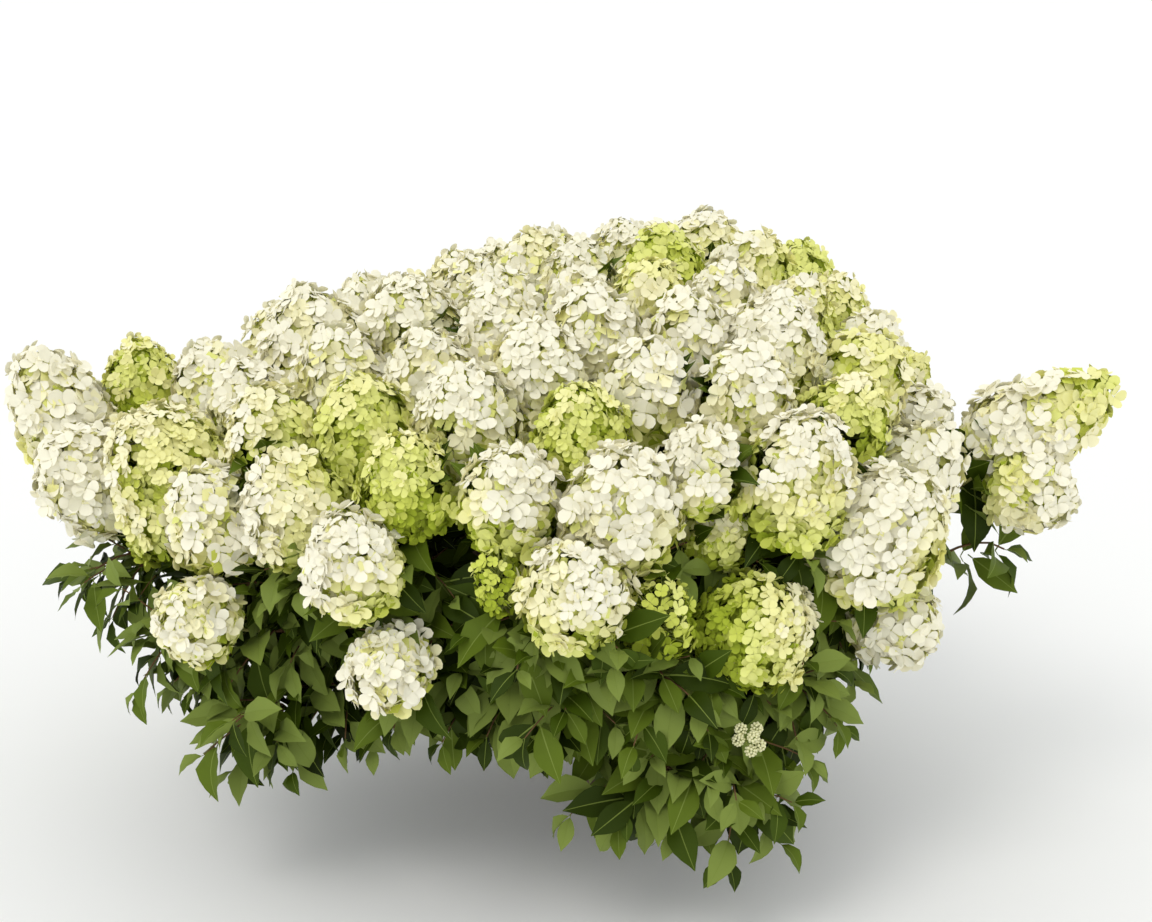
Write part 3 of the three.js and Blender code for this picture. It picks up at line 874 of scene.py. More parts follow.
@dataclass
class Skin:
    """Corners and faces gathered for one mesh, in millimetres."""

    corners: list[np.ndarray] = field(default_factory=list)
    faces: list[Face] = field(default_factory=list)
    count: int = 0

    def add(self, corners: Sequence, faces: Sequence[Face]) -> None:
        """Add a shape.

        Args:
            corners: its corners.
            faces: its faces, counted from its own first corner.
        """
        self.corners.append(np.array(corners))
        self.faces += [tuple(i + self.count for i in face) for face in faces]
        self.count += len(corners)

    def stack(self, corners: Sequence, sides: int) -> None:
        """Add rings of corners with faces from each to the next and a face at each end.

        Args:
            corners: the corners, ring after ring.
            sides: how many make a ring.
        """
        last = len(corners) - sides
        steps = [(i, (i + 1) % sides) for i in range(sides)]
        faces = [(ring + i, ring + step, ring + sides + step, ring + sides + i)
                 for ring in range(0, last, sides) for i, step in steps]
        ends = [tuple(reversed(range(sides))), tuple(range(last, last + sides))]
        self.add(corners, faces + ends)

    def tube(self, path: np.ndarray, start_way: np.ndarray, radii: np.ndarray, sides: int,
             relief: Optional[Relief] = None) -> None:
        """Add a tube with closed ends.

        Args:
            path: the tube's middle line.
            start_way: the way in which its foot faces back.
            radii: its radius at each point of the path.
            sides: how many sides it has.
            relief: how far the surface stands out, from the angle and the length along it.
        """
        side = not_steep(start_way)
        rings = []
        length = 0.0
        for k, middle in enumerate(path):
            before, after = path[max(k - 1, 0)], path[min(k + 1, len(path) - 1)]
            side, other = square(start_way if k == 0 else unit(after - before), side)
            length += apart(middle, before)
            angles = np.arange(sides) * TURN / sides
            radius = np.full(sides, radii[k])
            if relief:
                radius = radius + np.array([relief(angle, length) for angle in angles])
            rings.append(middle + np.outer(np.cos(angles) * radius, side)
                         + np.outer(np.sin(angles) * radius, other))
        self.stack(np.concatenate(rings), sides)

    def limb(self, start: Stance, end: Stance, gauge: Gauge,
             relief: Optional[Relief] = None) -> np.ndarray:
        """Add a tapering tube that bends from one point to another.

        Args:
            start: the point and the way in which it starts.
            end: the point and the way in which it ends.
            gauge: how it is made.
            relief: how far the surface stands out.

        Returns:
            The tube's middle line.
        """
        path = arc(*start, *end, gauge.bow, gauge.runs)
        self.tube(path, start[1], np.linspace(*gauge.radii, gauge.runs + 1), gauge.sides, relief)
        return path

    def piece(self, name: str, materials: Sequence[bpy.types.Material], smooth: bool = True,
              scale: float = MM) -> bpy.types.Object:
        """Make an object of what was gathered.

        Args:
            name: the object's name.
            materials: its materials.
            smooth: whether its faces are shaded as one curved surface.
            scale: what the corners are multiplied by.

        Returns:
            The object, linked to the scene.
        """
        mesh = bpy.data.meshes.new(name)
        mesh.from_pydata((np.concatenate(self.corners) * scale).tolist(), [], self.faces)
        mesh.polygons.foreach_set("use_smooth", [smooth] * len(mesh.polygons))
        for material in materials:
            mesh.materials.append(material)
        mesh.update()
        return linked(bpy.data.objects.new(name, mesh))

    def shape(self, name: str, rib: Sequence[bool] = ()) -> bpy.types.Object:
        """Make a small shape whose faces say whether they take the second finish.

        Args:
            name: the object's name.
            rib: one mark a face, or none where no face takes it.

        Returns:
            The object, in the units of the shape.
        """
        made = self.piece(name, [], scale=1.0)
        marks = made.data.attributes.new("rib", "BOOLEAN", "FACE")
        marks.data.foreach_set("value", list(rib) or [False] * len(self.faces))
        return made


@dataclass
class Scatter:
    """The place, turn, size and form of each of many small shapes."""

    shapes: list[tuple[np.ndarray, Point, float, int]] = field(default_factory=list)

    def put(self, at: np.ndarray, up: np.ndarray, ahead: np.ndarray, size: float,
            form: int) -> None:
        """Set one shape.

        Args:
            at: its place in millimetres.
            up: the way that its own Z axis looks.
            ahead: the way that its own X axis looks as nearly as it can.
            size: what its own unit of length becomes, in millimetres.
            form: which of the shapes it is.
        """
        ahead, left = square(up, ahead)
        turn = (math.atan2(left[2], up[2]), math.asin(max(-1.0, min(1.0, -ahead[2]))),
                math.atan2(ahead[1], ahead[0]))
        self.shapes.append((at, turn, size, form))

    def parts(self, most: int) -> list["Scatter"]:
        """Deal the shapes out into scatters of no more than so many."""
        return [Scatter(self.shapes[i:i + most]) for i in range(0, len(self.shapes), most)]

    def points(self, name: str) -> bpy.types.Object:
        """Make a mesh of loose points that carry the turns, sizes and forms.

        Args:
            name: the object's name.

        Returns:
            The object, linked to the scene.
        """
        at, *marks = (np.array(values) for values in zip(*self.shapes))
        mesh = bpy.data.meshes.new(name)
        mesh.from_pydata((at * MM).tolist(), [], [])
        kinds = (("turn", "FLOAT_VECTOR", "vector"), ("size", "FLOAT", "value"),
                 ("form", "INT", "value"))
        for (mark, kind, key), values in zip(kinds, marks):
            made = mesh.attributes.new(mark, kind, "POINT")
            made.data.foreach_set(key, values.ravel().tolist())
        return linked(bpy.data.objects.new(name, mesh))


@dataclass
class Planter:
    """Geometry Nodes that set small shapes on points and make them real."""

    tree: bpy.types.NodeTree = field(init=False)
    sockets: dict[str, str] = field(default_factory=dict)

    def build(self) -> None:
        """Build the tree: shapes on points, by their turn, size and form, in two finishes."""
        self.tree = tree = bpy.data.node_groups.new("set_shapes_on_points", "GeometryNodeTree")
        tree.interface.new_socket("Geometry", in_out="OUTPUT", socket_type="NodeSocketGeometry")
        for name, kind in (("Geometry", "Geometry"), ("Shapes", "Collection"),
                           ("Unit Size", "Float"), ("Blade", "Material"), ("Rib", "Material")):
            socket = tree.interface.new_socket(name, in_out="INPUT",
                                               socket_type="NodeSocket" + kind)
            self.sockets[name] = socket.identifier
        given, out, shapes, plant, spin, scale, real, blade, ribbed = (
            tree.nodes.new(kind) for kind in (
                "NodeGroupInput", "NodeGroupOutput", "GeometryNodeCollectionInfo",
                "GeometryNodeInstanceOnPoints", "FunctionNodeEulerToRotation", "ShaderNodeMath",
                "GeometryNodeRealizeInstances", "GeometryNodeSetMaterial",
                "GeometryNodeSetMaterial",
            ))
        turn, size, form, rib = (self.attribute(*mark) for mark in (
            ("turn", "FLOAT_VECTOR"), ("size", "FLOAT"), ("form", "INT"), ("rib", "BOOLEAN")))
        preset(shapes, {"Separate Children": True, "Reset Children": True})
        preset(plant, {"Pick Instance": True})
        scale.operation = "MULTIPLY"
        wire(tree, (given, "Geometry", plant, "Points"), (given, "Shapes", shapes, "Collection"),
             (shapes, "Instances", plant, "Instance"), (form, "Attribute", plant, "Instance Index"),
             (turn, "Attribute", spin, 0), (spin, 0, plant, "Rotation"),
             (size, "Attribute", scale, 0), (given, "Unit Size", scale, 1),
             (scale, 0, plant, "Scale"), (plant, "Instances", real, "Geometry"),
             (real, "Geometry", blade, "Geometry"), (given, "Blade", blade, "Material"),
             (blade, "Geometry", ribbed, "Geometry"), (given, "Rib", ribbed, "Material"),
             (rib, "Attribute", ribbed, "Selection"), (ribbed, "Geometry", out, "Geometry"))

    def attribute(self, name: str, kind: str) -> bpy.types.Node:
        """Add a node that reads a named attribute.

        Args:
            name: the attribute's name.
            kind: what it holds.

        Returns:
            The node.
        """
        node = self.tree.nodes.new("GeometryNodeInputNamedAttribute")
        node.data_type = kind
        preset(node, {"Name": name})
        return node

    def plant(self, name: str, scatter: Scatter, shapes: bpy.types.Collection,
              blade: bpy.types.Material, rib: bpy.types.Material) -> None:
        """Set the shapes, and turn the result into a plain mesh that rides the rigid body.

        Args:
            name: the finished piece's name.
            scatter: where the shapes go.
            shapes: the collection of shapes, in the order of their names.
            blade: the main finish.
            rib: the finish of the faces marked as rib.
        """
        points = scatter.points(name + "_points")
        modifier = points.modifiers.new("shapes", "NODES")
        modifier.node_group = self.tree
        for key, value in (("Shapes", shapes), ("Unit Size", MM), ("Blade", blade), ("Rib", rib)):
            modifier[self.sockets[key]] = value
        bpy.context.view_layer.update()
        graph = bpy.context.evaluated_depsgraph_get()
        mesh = bpy.data.meshes.new_from_object(points.evaluated_get(graph))
        mesh.name = name
        made = linked(bpy.data.objects.new(name, mesh))
        bpy.data.objects.remove(points)
        for mark in ("turn", "size", "form", "rib"):
            if mark in mesh.attributes:
                mesh.attributes.remove(mesh.attributes[mark])
        settle(made, Slot.BLOOM)
        LOG.info("%s: %d shapes", name, len(scatter.shapes))


def shape_collection(name: str, shapes: Sequence) -> bpy.types.Collection:
    """Build shapes and gather them in a collection of their own.

    Args:
        name: the collection's name.
        shapes: the shapes, in the order of their names.

    Returns:
        The collection.
    """
    collection = bpy.data.collections.new(name)
    bpy.context.scene.collection.children.link(collection)
    for made in [shape.build() for shape in shapes]:
        bpy.context.scene.collection.objects.unlink(made)
        collection.objects.link(made)
    return collection


def clear_shapes(collection: bpy.types.Collection) -> None:
    """Take a collection and its shapes away once they have been set.

    Args:
        collection: the collection.
    """
    for shape in list(collection.objects):
        bpy.data.objects.remove(shape)
    bpy.data.collections.remove(collection)


@dataclass
class Wood:
    """The stem and the boughs, with the relief of their bark."""

    growth: Growth
    flare: tuple[tuple[float, float], ...] = ((0, 64), (10, 52), (28, 43), (48, 38))
    flare_lobes: float = 0.12
    lobe_count: int = 5
    top_lowest: float = math.radians(88)
    stem_sides: int = 60
    stem_rings: int = 44
    stem_ridge: float = 0.55
    smooth_radius: float = 20
    bough: Gauge = Gauge(Growth.bough_radii, Growth.bough_bow, 26, 10)
    bough_ridge: float = 0.35
    bough_shift: float = 97
    coarse: tuple[float, float] = (3.2, 0.022)
    fine: tuple[float, float] = (9, 0.06)
    fine_share: float = 0.5
    finish: BarkFinish = BarkFinish("bark", ((70, 55, 40), (132, 113, 90)))

    def ridge(self, angle: float, height: float, size: float) -> float:
        """Give how far the bark stands out.

        Args:
            angle: the angle round the wood.
            height: the length along it.
            size: how far the bark's ridges stand out.

        Returns:
            The distance, negative in the furrows.
        """
        coarse, fine = (
            noise.noise(Vector((math.cos(angle) * wide, math.sin(angle) * wide, height * tall)))
            for wide, tall in (self.coarse, self.fine)
        )
        return size * (coarse + self.fine_share * fine)

    def build(self) -> None:
        """Make the stem and the boughs, and put them in place of the solids."""
        bark = self.finish.make()
        settle(self.stem(bark), Slot.BARK, ["stem"])
        boughs = Skin()
        masses = self.growth.masses
        for k, mass in enumerate(masses):
            boughs.limb((mass.base, mass.start), (mass.tip, mass.aim), self.bough,
                        lambda angle, at, k=k: self.ridge(angle + k, at + k * self.bough_shift,
                                                          self.bough_ridge))
        settle(boughs.piece("boughs", [bark]), Slot.BARK, [f"{mass.name}_bough" for mass in masses])
        LOG.info("stem_bark: one stem; boughs: %d", len(masses))

    def stem(self, bark: bpy.types.Material) -> bpy.types.Object:
        """Make the stem: root flare, taper and rounded top, with ridges of bark.

        Args:
            bark: its finish.

        Returns:
            The stem.
        """
        fork, top, sides = self.growth.fork, self.growth.stem_top_radius, self.stem_sides
        heights, radii = zip(*self.flare)
        profile = [(height, float(np.interp(height, heights, radii)), height / heights[-1])
                   for height in np.linspace(0, heights[-1], self.stem_rings // 2)]
        profile += [(fork[2] + top * math.sin(angle), top * math.cos(angle), 1.0)
                    for angle in np.linspace(0, self.top_lowest, self.stem_rings // 2)]
        rings = []
        for height, radius, rise in profile:
            lean = min(1.0, height / fork[2])
            lobes = self.flare_lobes * (1 - min(1, rise))
            rough = min(1, radius / self.smooth_radius)
            for i in range(sides):
                angle = i * TURN / sides
                lobed = radius * (1 + lobes * math.cos(angle * self.lobe_count))
                lobed += self.ridge(angle, height, self.stem_ridge) * rough
                rings.append((fork[0] * lean + math.cos(angle) * lobed,
                              fork[1] * lean + math.sin(angle) * lobed, height))
        skin = Skin()
        skin.stack(rings, sides)
        return skin.piece("stem_bark", [bark])


@dataclass
class LeafShape:
    """One leaf: short stalk, pointed oval blade folded at a light midrib and at its side veins.

    Its length is one.
    """

    name: str
    fold: float
    droop: float
    wave: float
    wave_pace: float = 1.9
    wave_shift: float = 1.3
    wave_half: float = 0.12
    stalk: float = 0.1
    stalk_half: float = 0.011
    stalk_edges: tuple[float, float] = (0.006, -0.008)
    stalk_sink: float = 0.4
    lift: float = 0.25
    outline: tuple[tuple[float, float], ...] = (
        (0.0, 0.02), (0.1, 0.11), (0.24, 0.185), (0.42, 0.22), (0.6, 0.195), (0.77, 0.125),
        (0.9, 0.05), (1.0, 0.004),
    )
    rib_half: float = 0.012
    rib_taper: float = 0.75
    sweep: float = 0.25
    pleat: float = 0.09

    def build(self) -> bpy.types.Object:
        """Build the leaf along +X, its upper side looking along +Z.

        Returns:
            An object whose faces carry the mark of the rib.
        """
        corners = []
        spot, before = np.array([self.stalk, 0.0]), 0.0
        for k, (share, half) in enumerate(self.outline):
            way = self.lift - self.droop * share
            run = (share - before) * (1 - self.stalk)
            spot = spot + run * np.array([math.cos(way), math.sin(way)])
            before = share
            thin = self.rib_half * (1 - self.rib_taper * share)
            columns = (-half, -thin, thin, half)
            for across in columns:
                up = abs(across) * (self.fold + (self.pleat if k % 2 else -self.pleat))
                if abs(across) == half:
                    shift = 0 if across > 0 else self.wave_shift
                    up += (self.wave * math.sin(k * self.wave_pace + shift)
                           * min(1.0, half / self.wave_half))
                corners.append((spot[0] + self.sweep * abs(across) * (1 - share), across,
                                spot[1] + up))
        wide = len(columns)
        faces = [(low, low + wide, low + wide + 1, low + 1)
                 for row in range(len(self.outline) - 1)
                 for low in range(row * wide, row * wide + wide - 1)]
        rib = [face[0] % wide == wide // 2 - 1 for face in faces]
        skin = Skin()
        skin.add(corners, faces)
        sink = -self.stalk * math.sin(self.lift) * self.stalk_sink
        half, (edge, keel) = self.stalk_half, self.stalk_edges
        stalk = [(x, across, z + up) for x, z in ((0.0, sink), (self.stalk, 0.0))
                 for across, up in ((-half, edge), (0, keel), (half, edge))]
        skin.add(stalk, [(0, 3, 4, 1), (1, 4, 5, 2), (0, 2, 5, 3)])
        return skin.shape(self.name, rib + [True] * 3)


@dataclass
class FloretShape:
    """One floret: four broad rounded petals that overlap, and a small bead. Its width is one."""

    name: str
    cup: float
    dish: float
    slant: float
    seed: int
    petals: int = 4
    rim: tuple[tuple[float, float], ...] = ((0.12, 0.14), (0.27, 0.24), (0.41, 0.215), (0.49, 0.09))
    middle: float = 0.29
    foot: float = 0.02
    turn_swing: float = 0.3
    sizes: tuple[float, float] = (0.9, 0.2)
    cup_swing: float = 0.5
    bead: float = 0.035
    bead_foot: float = 0.02
    bead_height: float = 1.6
    bead_corners: tuple[float, ...] = (0, 2.1, 4.2)

    def build(self) -> bpy.types.Object:
        """Build the floret round +Z.

        Returns:
            An object whose faces carry the mark of the bead.
        """
        draw = seeded(self.seed)
        skin = Skin()
        corners = [(self.foot, 0.0)] + [(far, -half) for far, half in self.rim]
        corners += [(far, half) for far, half in reversed(self.rim)]
        last = len(corners)
        faces = [(i, (i + 1) % last, last) for i in range(last)]
        corners.append((self.middle, 0.0))
        for k in range(self.petals):
            ahead, left = compass(k * TURN / self.petals + swing(draw, self.turn_swing))
            size = line(self.sizes, draw())
            tilt = self.cup + swing(draw, self.cup_swing)
            skin.add([(ahead * far + left * across) * size
                      + UP * (tilt * far**2 + self.dish * across**2 + self.slant * across)
                      for far, across in corners], faces)
        rib = [False] * len(skin.faces)
        bead = [(self.bead * math.cos(angle), self.bead * math.sin(angle), self.bead_foot)
                for angle in self.bead_corners]
        bead.append((0, 0, self.bead_foot + self.bead * self.bead_height))
        skin.add(bead, [(0, 1, 3), (1, 2, 3), (2, 0, 3)])
        return skin.shape(self.name, rib + [True] * 3)


@dataclass(frozen=True)
class InnerFloretShape:
    """A plainer floret for the layer below, of four kites. Its width is one."""

    name: str
    widest: tuple[float, float] = (0.3, 0.24)
    tip: float = 0.5
    rises: tuple[float, float, float] = (0.02, 0.1, 0.08)

    def build(self) -> bpy.types.Object:
        """Build the floret round +Z.

        Returns:
            An object with no face marked.
        """
        skin = Skin()
        far, half = self.widest
        right_up, tip_up, left_up = (UP * rise for rise in self.rises)
        for k in range(4):
            ahead, left = compass(k * TURN / 4)
            skin.add([UP * 0, ahead * far - left * half + right_up, ahead * self.tip + tip_up,
                      ahead * far + left * half + left_up], [(0, 1, 2), (0, 2, 3)])
        return skin.shape(self.name)


@dataclass(frozen=True)
class BeadShape:
    """One closed bud, a rounded bead with a width of one."""

    name: str = "bud"
    rings: tuple[tuple[float, float], ...] = ((-0.45, 0.2), (-0.1, 0.48), (0.25, 0.4), (0.48, 0.12))
    sides: int = 6

    def build(self) -> bpy.types.Object:
        """Build the bud round +Z.

        Returns:
            An object with no face marked.
        """
        skin = Skin()
        angles = [i * TURN / self.sides for i in range(self.sides)]
        skin.stack([(math.cos(angle) * radius, math.sin(angle) * radius, height)
                    for height, radius in self.rings for angle in angles], self.sides)
        return skin.shape(self.name)


@dataclass
class Room:
    """The room that heads and the crown's outline leave to leaves."""

    growth: Growth
    head_share: float = 0.84
    leaf_out: float = 70
    leaf_drop: float = 75
    lowest: float = 80
    stray_room: float = 92
    stray_side: float = 400
    stray_shares: tuple[float, ...] = (0.55, 0.7, 0.85, 1.0)
    middles: np.ndarray = field(init=False)
    axes: np.ndarray = field(init=False)
    halves: np.ndarray = field(init=False)
    outer_ends: np.ndarray = field(init=False)

    def measure(self) -> None:
        """Take the heads' places and sizes, and where the stray shoots go."""
        heads = self.growth.heads
        self.middles = np.array([head.at for head in heads])
        self.axes = np.array([head.axis for head in heads])
        self.halves = np.array([(head.length / 2, head.width / 2) for head in heads])
        tips = [tip for tip, _ in self.growth.stray_shoots]
        self.outer_ends = np.array([
            along(twig.path, share)[0] for twig in self.growth.shoots
            if twig.to[0] < self.stray_side and tuple(twig.to) in tips
            for share in self.stray_shares
        ])

    def seen_by_heads(self, points: np.ndarray) -> tuple[np.ndarray, np.ndarray]:
        """Measure points from every head's middle, in that head's half sizes.

        Args:
            points: a point, or one a row.

        Returns:
            How far along each head's axis, and how far aside from it.
        """
        gap = points[..., None, :] - self.middles
        up = (gap * self.axes).sum(-1)
        aside = np.linalg.norm(gap - up[..., None] * self.axes, axis=-1)
        return up / self.halves[:, 0], aside / self.halves[:, 1]

    def in_head(self, points: np.ndarray, share: float, but: Optional[int] = None) -> bool:
        """Tell whether any point is inside a head.

        Args:
            points: the points to test, one a row.
            share: how much of each head's size counts.
            but: a head that doesn't count.

        Returns:
            Whether one is inside.
        """
        up, aside = self.seen_by_heads(points)
        inside = up**2 + aside**2 < share**2
        if but is not None:
            inside[:, but] = False
        return bool(inside.any())

    def clearance(self, point: np.ndarray, but: int) -> float:
        """Measure how far a point is from the nearest head's middle.

        Args:
            point: the point.
            but: a head that doesn't count.

        Returns:
            The distance, in that head's half sizes.
        """
        far = np.hypot(*self.seen_by_heads(point))
        far[but] = np.inf
        return float(far.min())

    def in_reach(self, point: np.ndarray) -> bool:
        """Tell whether a point is within the reach of the crown, its skirt and the stray shoots.

        Args:
            point: the point.

        Returns:
            Whether it is.
        """
        growth, dome = self.growth, self.growth.dome
        azimuth, far, rim = dome.locate(point)
        foot = dome.around(growth.shoot_foot, azimuth)
        share = (point[2] - foot) / (dome.heart[2] + rim[2] - foot)
        most = math.hypot(rim[0], rim[1]) * between(growth.shoot_out, clamped(share))
        if far < most + self.leaf_out and point[2] > foot - self.leaf_drop:
            return True
        return float(np.linalg.norm(self.outer_ends - point, axis=1).min()) < self.stray_room


class LeafPair(NamedTuple):
    """A place on a twig where two leaves face each other."""

    at: np.ndarray
    way: np.ndarray
    turn: float
    size: float
    last: bool


class GapLeaf(NamedTuple):
    """A leaf between heads, from root to tip, the way out of its head, and a number by chance."""

    root: np.ndarray
    tip: np.ndarray
    out: np.ndarray
    chance: float


def nearest(twigs: Sequence[Twig], point: Sequence[float]) -> Twig:
    """Give the twig whose end is nearest to a point."""
    return min(twigs, key=lambda twig: apart(twig.to, vec(point)))


@dataclass
class Twiggery:
    """Spurs, the stalks of the heads, the leafy shoots and the finer twigs that grow on them."""

    growth: Growth
    room: Room
    spur: Gauge = Gauge((5.0, 3.2), Growth.spur_bow, 9, 7)
    stalk: Gauge = Gauge((2.9, 2.0), Growth.twig_bow, 9, 5)
    shoot: Gauge = Gauge((2.6, 1.2), Growth.twig_bow, 9, 5)
    side: Gauge = Gauge((1.5, 0.8), Growth.twig_bow, 4, 4)
    woody_runs: int = 6
    seeds: tuple[int, int, int, int] = (4000, 5000, 6000, 9000)
    shoot_sides_at: tuple[float, ...] = (0.3, 0.46, 0.62, 0.78, 0.9)
    stalk_sides_at: tuple[float, ...] = (0.3, 0.5, 0.68)
    spur_sides_at: tuple[float, ...] = (0.2, 0.45, 0.7, 0.95)
    shoot_pairs: tuple[float, ...] = (0.36, 0.54, 0.7, 0.84, 0.94, 1.0)
    stalk_pairs: tuple[float, ...] = (0.36, 0.56, 0.74, 0.9)
    crown_pairs: tuple[float, ...] = (0.6, 0.78, 0.9)
    side_pairs: tuple[float, ...] = (0.4, 0.7, 1.0)
    side_length: tuple[float, float] = (55, 105)
    side_swing: float = 0.7
    side_aside: float = 0.9
    side_ahead: float = 0.8
    side_rise: float = 0.4
    side_droop: float = -0.5
    side_bend_swing: float = 0.5
    side_head_share: float = 0.95
    side_leaf: float = 0.86
    last_leaf: float = 0.62
    low_foot: float = 0.7
    low_leaf: float = 0.95
    low_twigs: tuple[tuple, ...] = (
        ((-62, -392, 168), (-0.5, -0.5, -0.7)),
        ((-8, -398, 160), (-0.3, -0.6, -0.8)),
        ((-172, -318, 400), (-0.2, -0.6, 0.5)),
    )
    gap_tries: int = 24
    gap_root: float = 0.38
    gap_out: float = 0.6
    gap_up: float = 0.22
    gap_clear: tuple[float, float] = (1.12, 1.5)
    gap_reach: float = 45
    gap_back: float = 60
    gap_often: float = 0.25
    gap_most: int = 3
    gap_places: tuple[Point, ...] = (
        (-585, -57, 518), (-416, -248, 550), (-231, -90, 650), (-186, -336, 580), (80, -245, 647),
        (141, -340, 580), (245, -270, 590), (412, -40, 495),
    )
    broad_leaves: tuple[tuple, ...] = (
        ((428, -40, 474), 0.97, (446, -78, 372)),
        ((428, -40, 474), 0.8, (452, -102, 502)),
        ((485, -60, 365), 0.75, (498, -76, 312)),
        ((-136, -380, 427), 0.5, (-198, -346, 430)),
    )
    broad_out: Point = (-0.3, 1.0, -0.4)
    old: PlainFinish = PlainFinish("brown_twigs", (112, 84, 56), 0.75)
    young: PlainFinish = PlainFinish("green_stalks", (150, 148, 84), 0.6)
    brown: Skin = field(default_factory=Skin)
    green: Skin = field(default_factory=Skin)
    leaf_pairs: list[LeafPair] = field(default_factory=list)
    gap_leaves: list[GapLeaf] = field(default_factory=list)

    def build(self) -> None:
        """Make every twig, and note where leaves go."""
        growth = self.growth
        spur_seed, twig_seed, low_seed, gap_seed = self.seeds
        for mass in growth.masses:
            self.brown.limb((mass.root, mass.way), (mass.hub, mass.aim), self.spur)
            draw = seeded(spur_seed + ord(mass.name[-1]))
            self.branch(mass.spur, self.spur_sides_at, draw, False)
        for twig in growth.stalks + growth.shoots:
            self.twig(twig, seeded(twig.seed + twig_seed))
        for to, way in self.low_twigs:
            path = nearest(growth.shoots, to).path
            self.side_twig(along(path, self.low_foot), (vec(to), unit(vec(way))),
                           seeded(abs(to[0]) + low_seed), self.low_leaf)
        self.fill_gaps(seeded(gap_seed))
        settle(self.brown.piece(self.old.name, [self.old.make()]), Slot.BARK,
               [f"{mass.name}_mass" for mass in growth.masses])
        settle(self.green.piece(self.young.name, [self.young.make()]), Slot.BLOOM)
        LOG.info("%s: %d corners; %s: %d corners; %d pairs of leaves", self.old.name,
                 self.brown.count, self.young.name, self.green.count, len(self.leaf_pairs))

    def twig(self, twig: Twig, draw: Draw) -> None:
        """Make one stalk or shoot with its side twigs, and note its leaves.

        Args:
            twig: the stalk or shoot.
            draw: a stream of numbers.
        """
        start, end, gauge = (twig.start, twig.start_way), (twig.to, twig.way), self.stalk
        pairs, sides = self.shoot_pairs, self.shoot_sides_at
        if twig.head:
            path = arc(*start, *end, gauge.bow, gauge.runs)
            radii = np.linspace(*gauge.radii, gauge.runs + 1)
            half = self.woody_runs
            self.brown.tube(path[: half + 1], twig.start_way, radii[: half + 1], gauge.sides)
            self.green.tube(path[half:], unit(path[half + 1] - path[half]), radii[half:],
                            gauge.sides)
            pairs, sides = self.crown_pairs, ()
            if twig.head.leafy:
                pairs, sides = self.stalk_pairs, self.stalk_sides_at
        else:
            self.brown.limb(start, end, self.shoot)
        self.branch(twig.path, sides, draw, not twig.head or twig.head.leafy)
        self.pairs(twig.path, pairs, draw, 1.0, not twig.head)

    def side_twig(self, start: Stance, end: Stance, draw: Draw, size: float) -> None:
        """Grow one fine twig that ends in a pair of leaves.

        Args:
            start: the point and the way in which it starts.
            end: the point and the way in which it ends.
            draw: a stream of numbers.
            size: the leaves' size, as a share of a full leaf.
        """
        self.pairs(self.brown.limb(start, end, self.side), self.side_pairs, draw, size, True)

    def branch(self, path: np.ndarray, places: Sequence[float], draw: Draw, droop: bool) -> None:
        """Grow side twigs in opposite pairs.

        Args:
            path: the twig that they grow on.
            places: where on it, as shares of its length.
            draw: a stream of numbers.
            droop: whether they bend down at their ends.
        """
        turn = draw() * math.pi
        bend = self.side_droop if droop else self.side_rise
        for place in places:
            at, way = along(path, place)
            sides = square(way, not_steep(way))
            for flip in (0, math.pi):
                aside = around(sides, turn + flip + swing(draw, self.side_swing))
                start_way = unit(aside * self.side_aside + way * self.side_ahead)
                length = between(self.side_length, draw())
                end_way = unit(start_way + UP * (bend + swing(draw, self.side_bend_swing)))
                to = at + unit(start_way + end_way) * length
                if not self.room.in_head(to[None], self.side_head_share) and self.room.in_reach(to):
                    self.side_twig((at, start_way), (to, end_way), draw, self.side_leaf)
            turn += math.pi / 2

    def pairs(self, path: np.ndarray, places: Sequence[float], draw: Draw, size: float,
              ends: bool) -> None:
        """Note pairs of leaves along a twig.

        Args:
            path: the twig.
            places: where on it, as shares of its length.
            draw: a stream of numbers.
            size: their size, as a share of a full leaf.
            ends: whether the twig ends in the last, smaller pair.
        """
        turn = draw() * math.pi
        for i, place in enumerate(places):
            last = ends and i == len(places) - 1
            self.leaf_pairs.append(
                LeafPair(*along(path, place), turn, size * (self.last_leaf if last else 1.0), last))
            turn += math.pi / 2
            draw()  # Each pair takes a number of its own, which keeps the later ones as they are.

    def fill_gaps(self, draw: Draw) -> None:
        """Note leaves that stand up into gaps between heads: at set places, and by chance behind.

        Args:
            draw: a stream of numbers.
        """
        places, (low, high) = np.array(self.gap_places, float), self.gap_clear
        for index, head in enumerate(self.growth.heads):
            chosen = draw() < self.gap_often
            if head.stray:
                continue
            sides = square(head.axis, not_across(head.axis))
            root = head.at - head.axis * head.length * self.gap_root
            found = 0
            for k in range(self.gap_tries):
                out = around(sides, k * GOLDEN_ANGLE)
                tip = (head.at + out * head.width * self.gap_out
                       + head.axis * head.length * self.gap_up)
                wanted = (np.linalg.norm(places - tip, axis=1).min() < self.gap_reach
                          or (chosen and tip[1] > self.gap_back))
                clear = low < self.room.clearance(tip, index) < high
                if found < self.gap_most and wanted and clear:
                    self.gap_leaves.append(GapLeaf(root, tip, out, draw()))
                    found += 1
        for end, share, tip in self.broad_leaves:
            root, _ = along(nearest(self.growth.stalks + self.growth.shoots, end).path, share)
            self.gap_leaves.append(GapLeaf(root, vec(tip), vec(self.broad_out), draw()))
        LOG.info("leaves between heads: %d", len(self.gap_leaves))


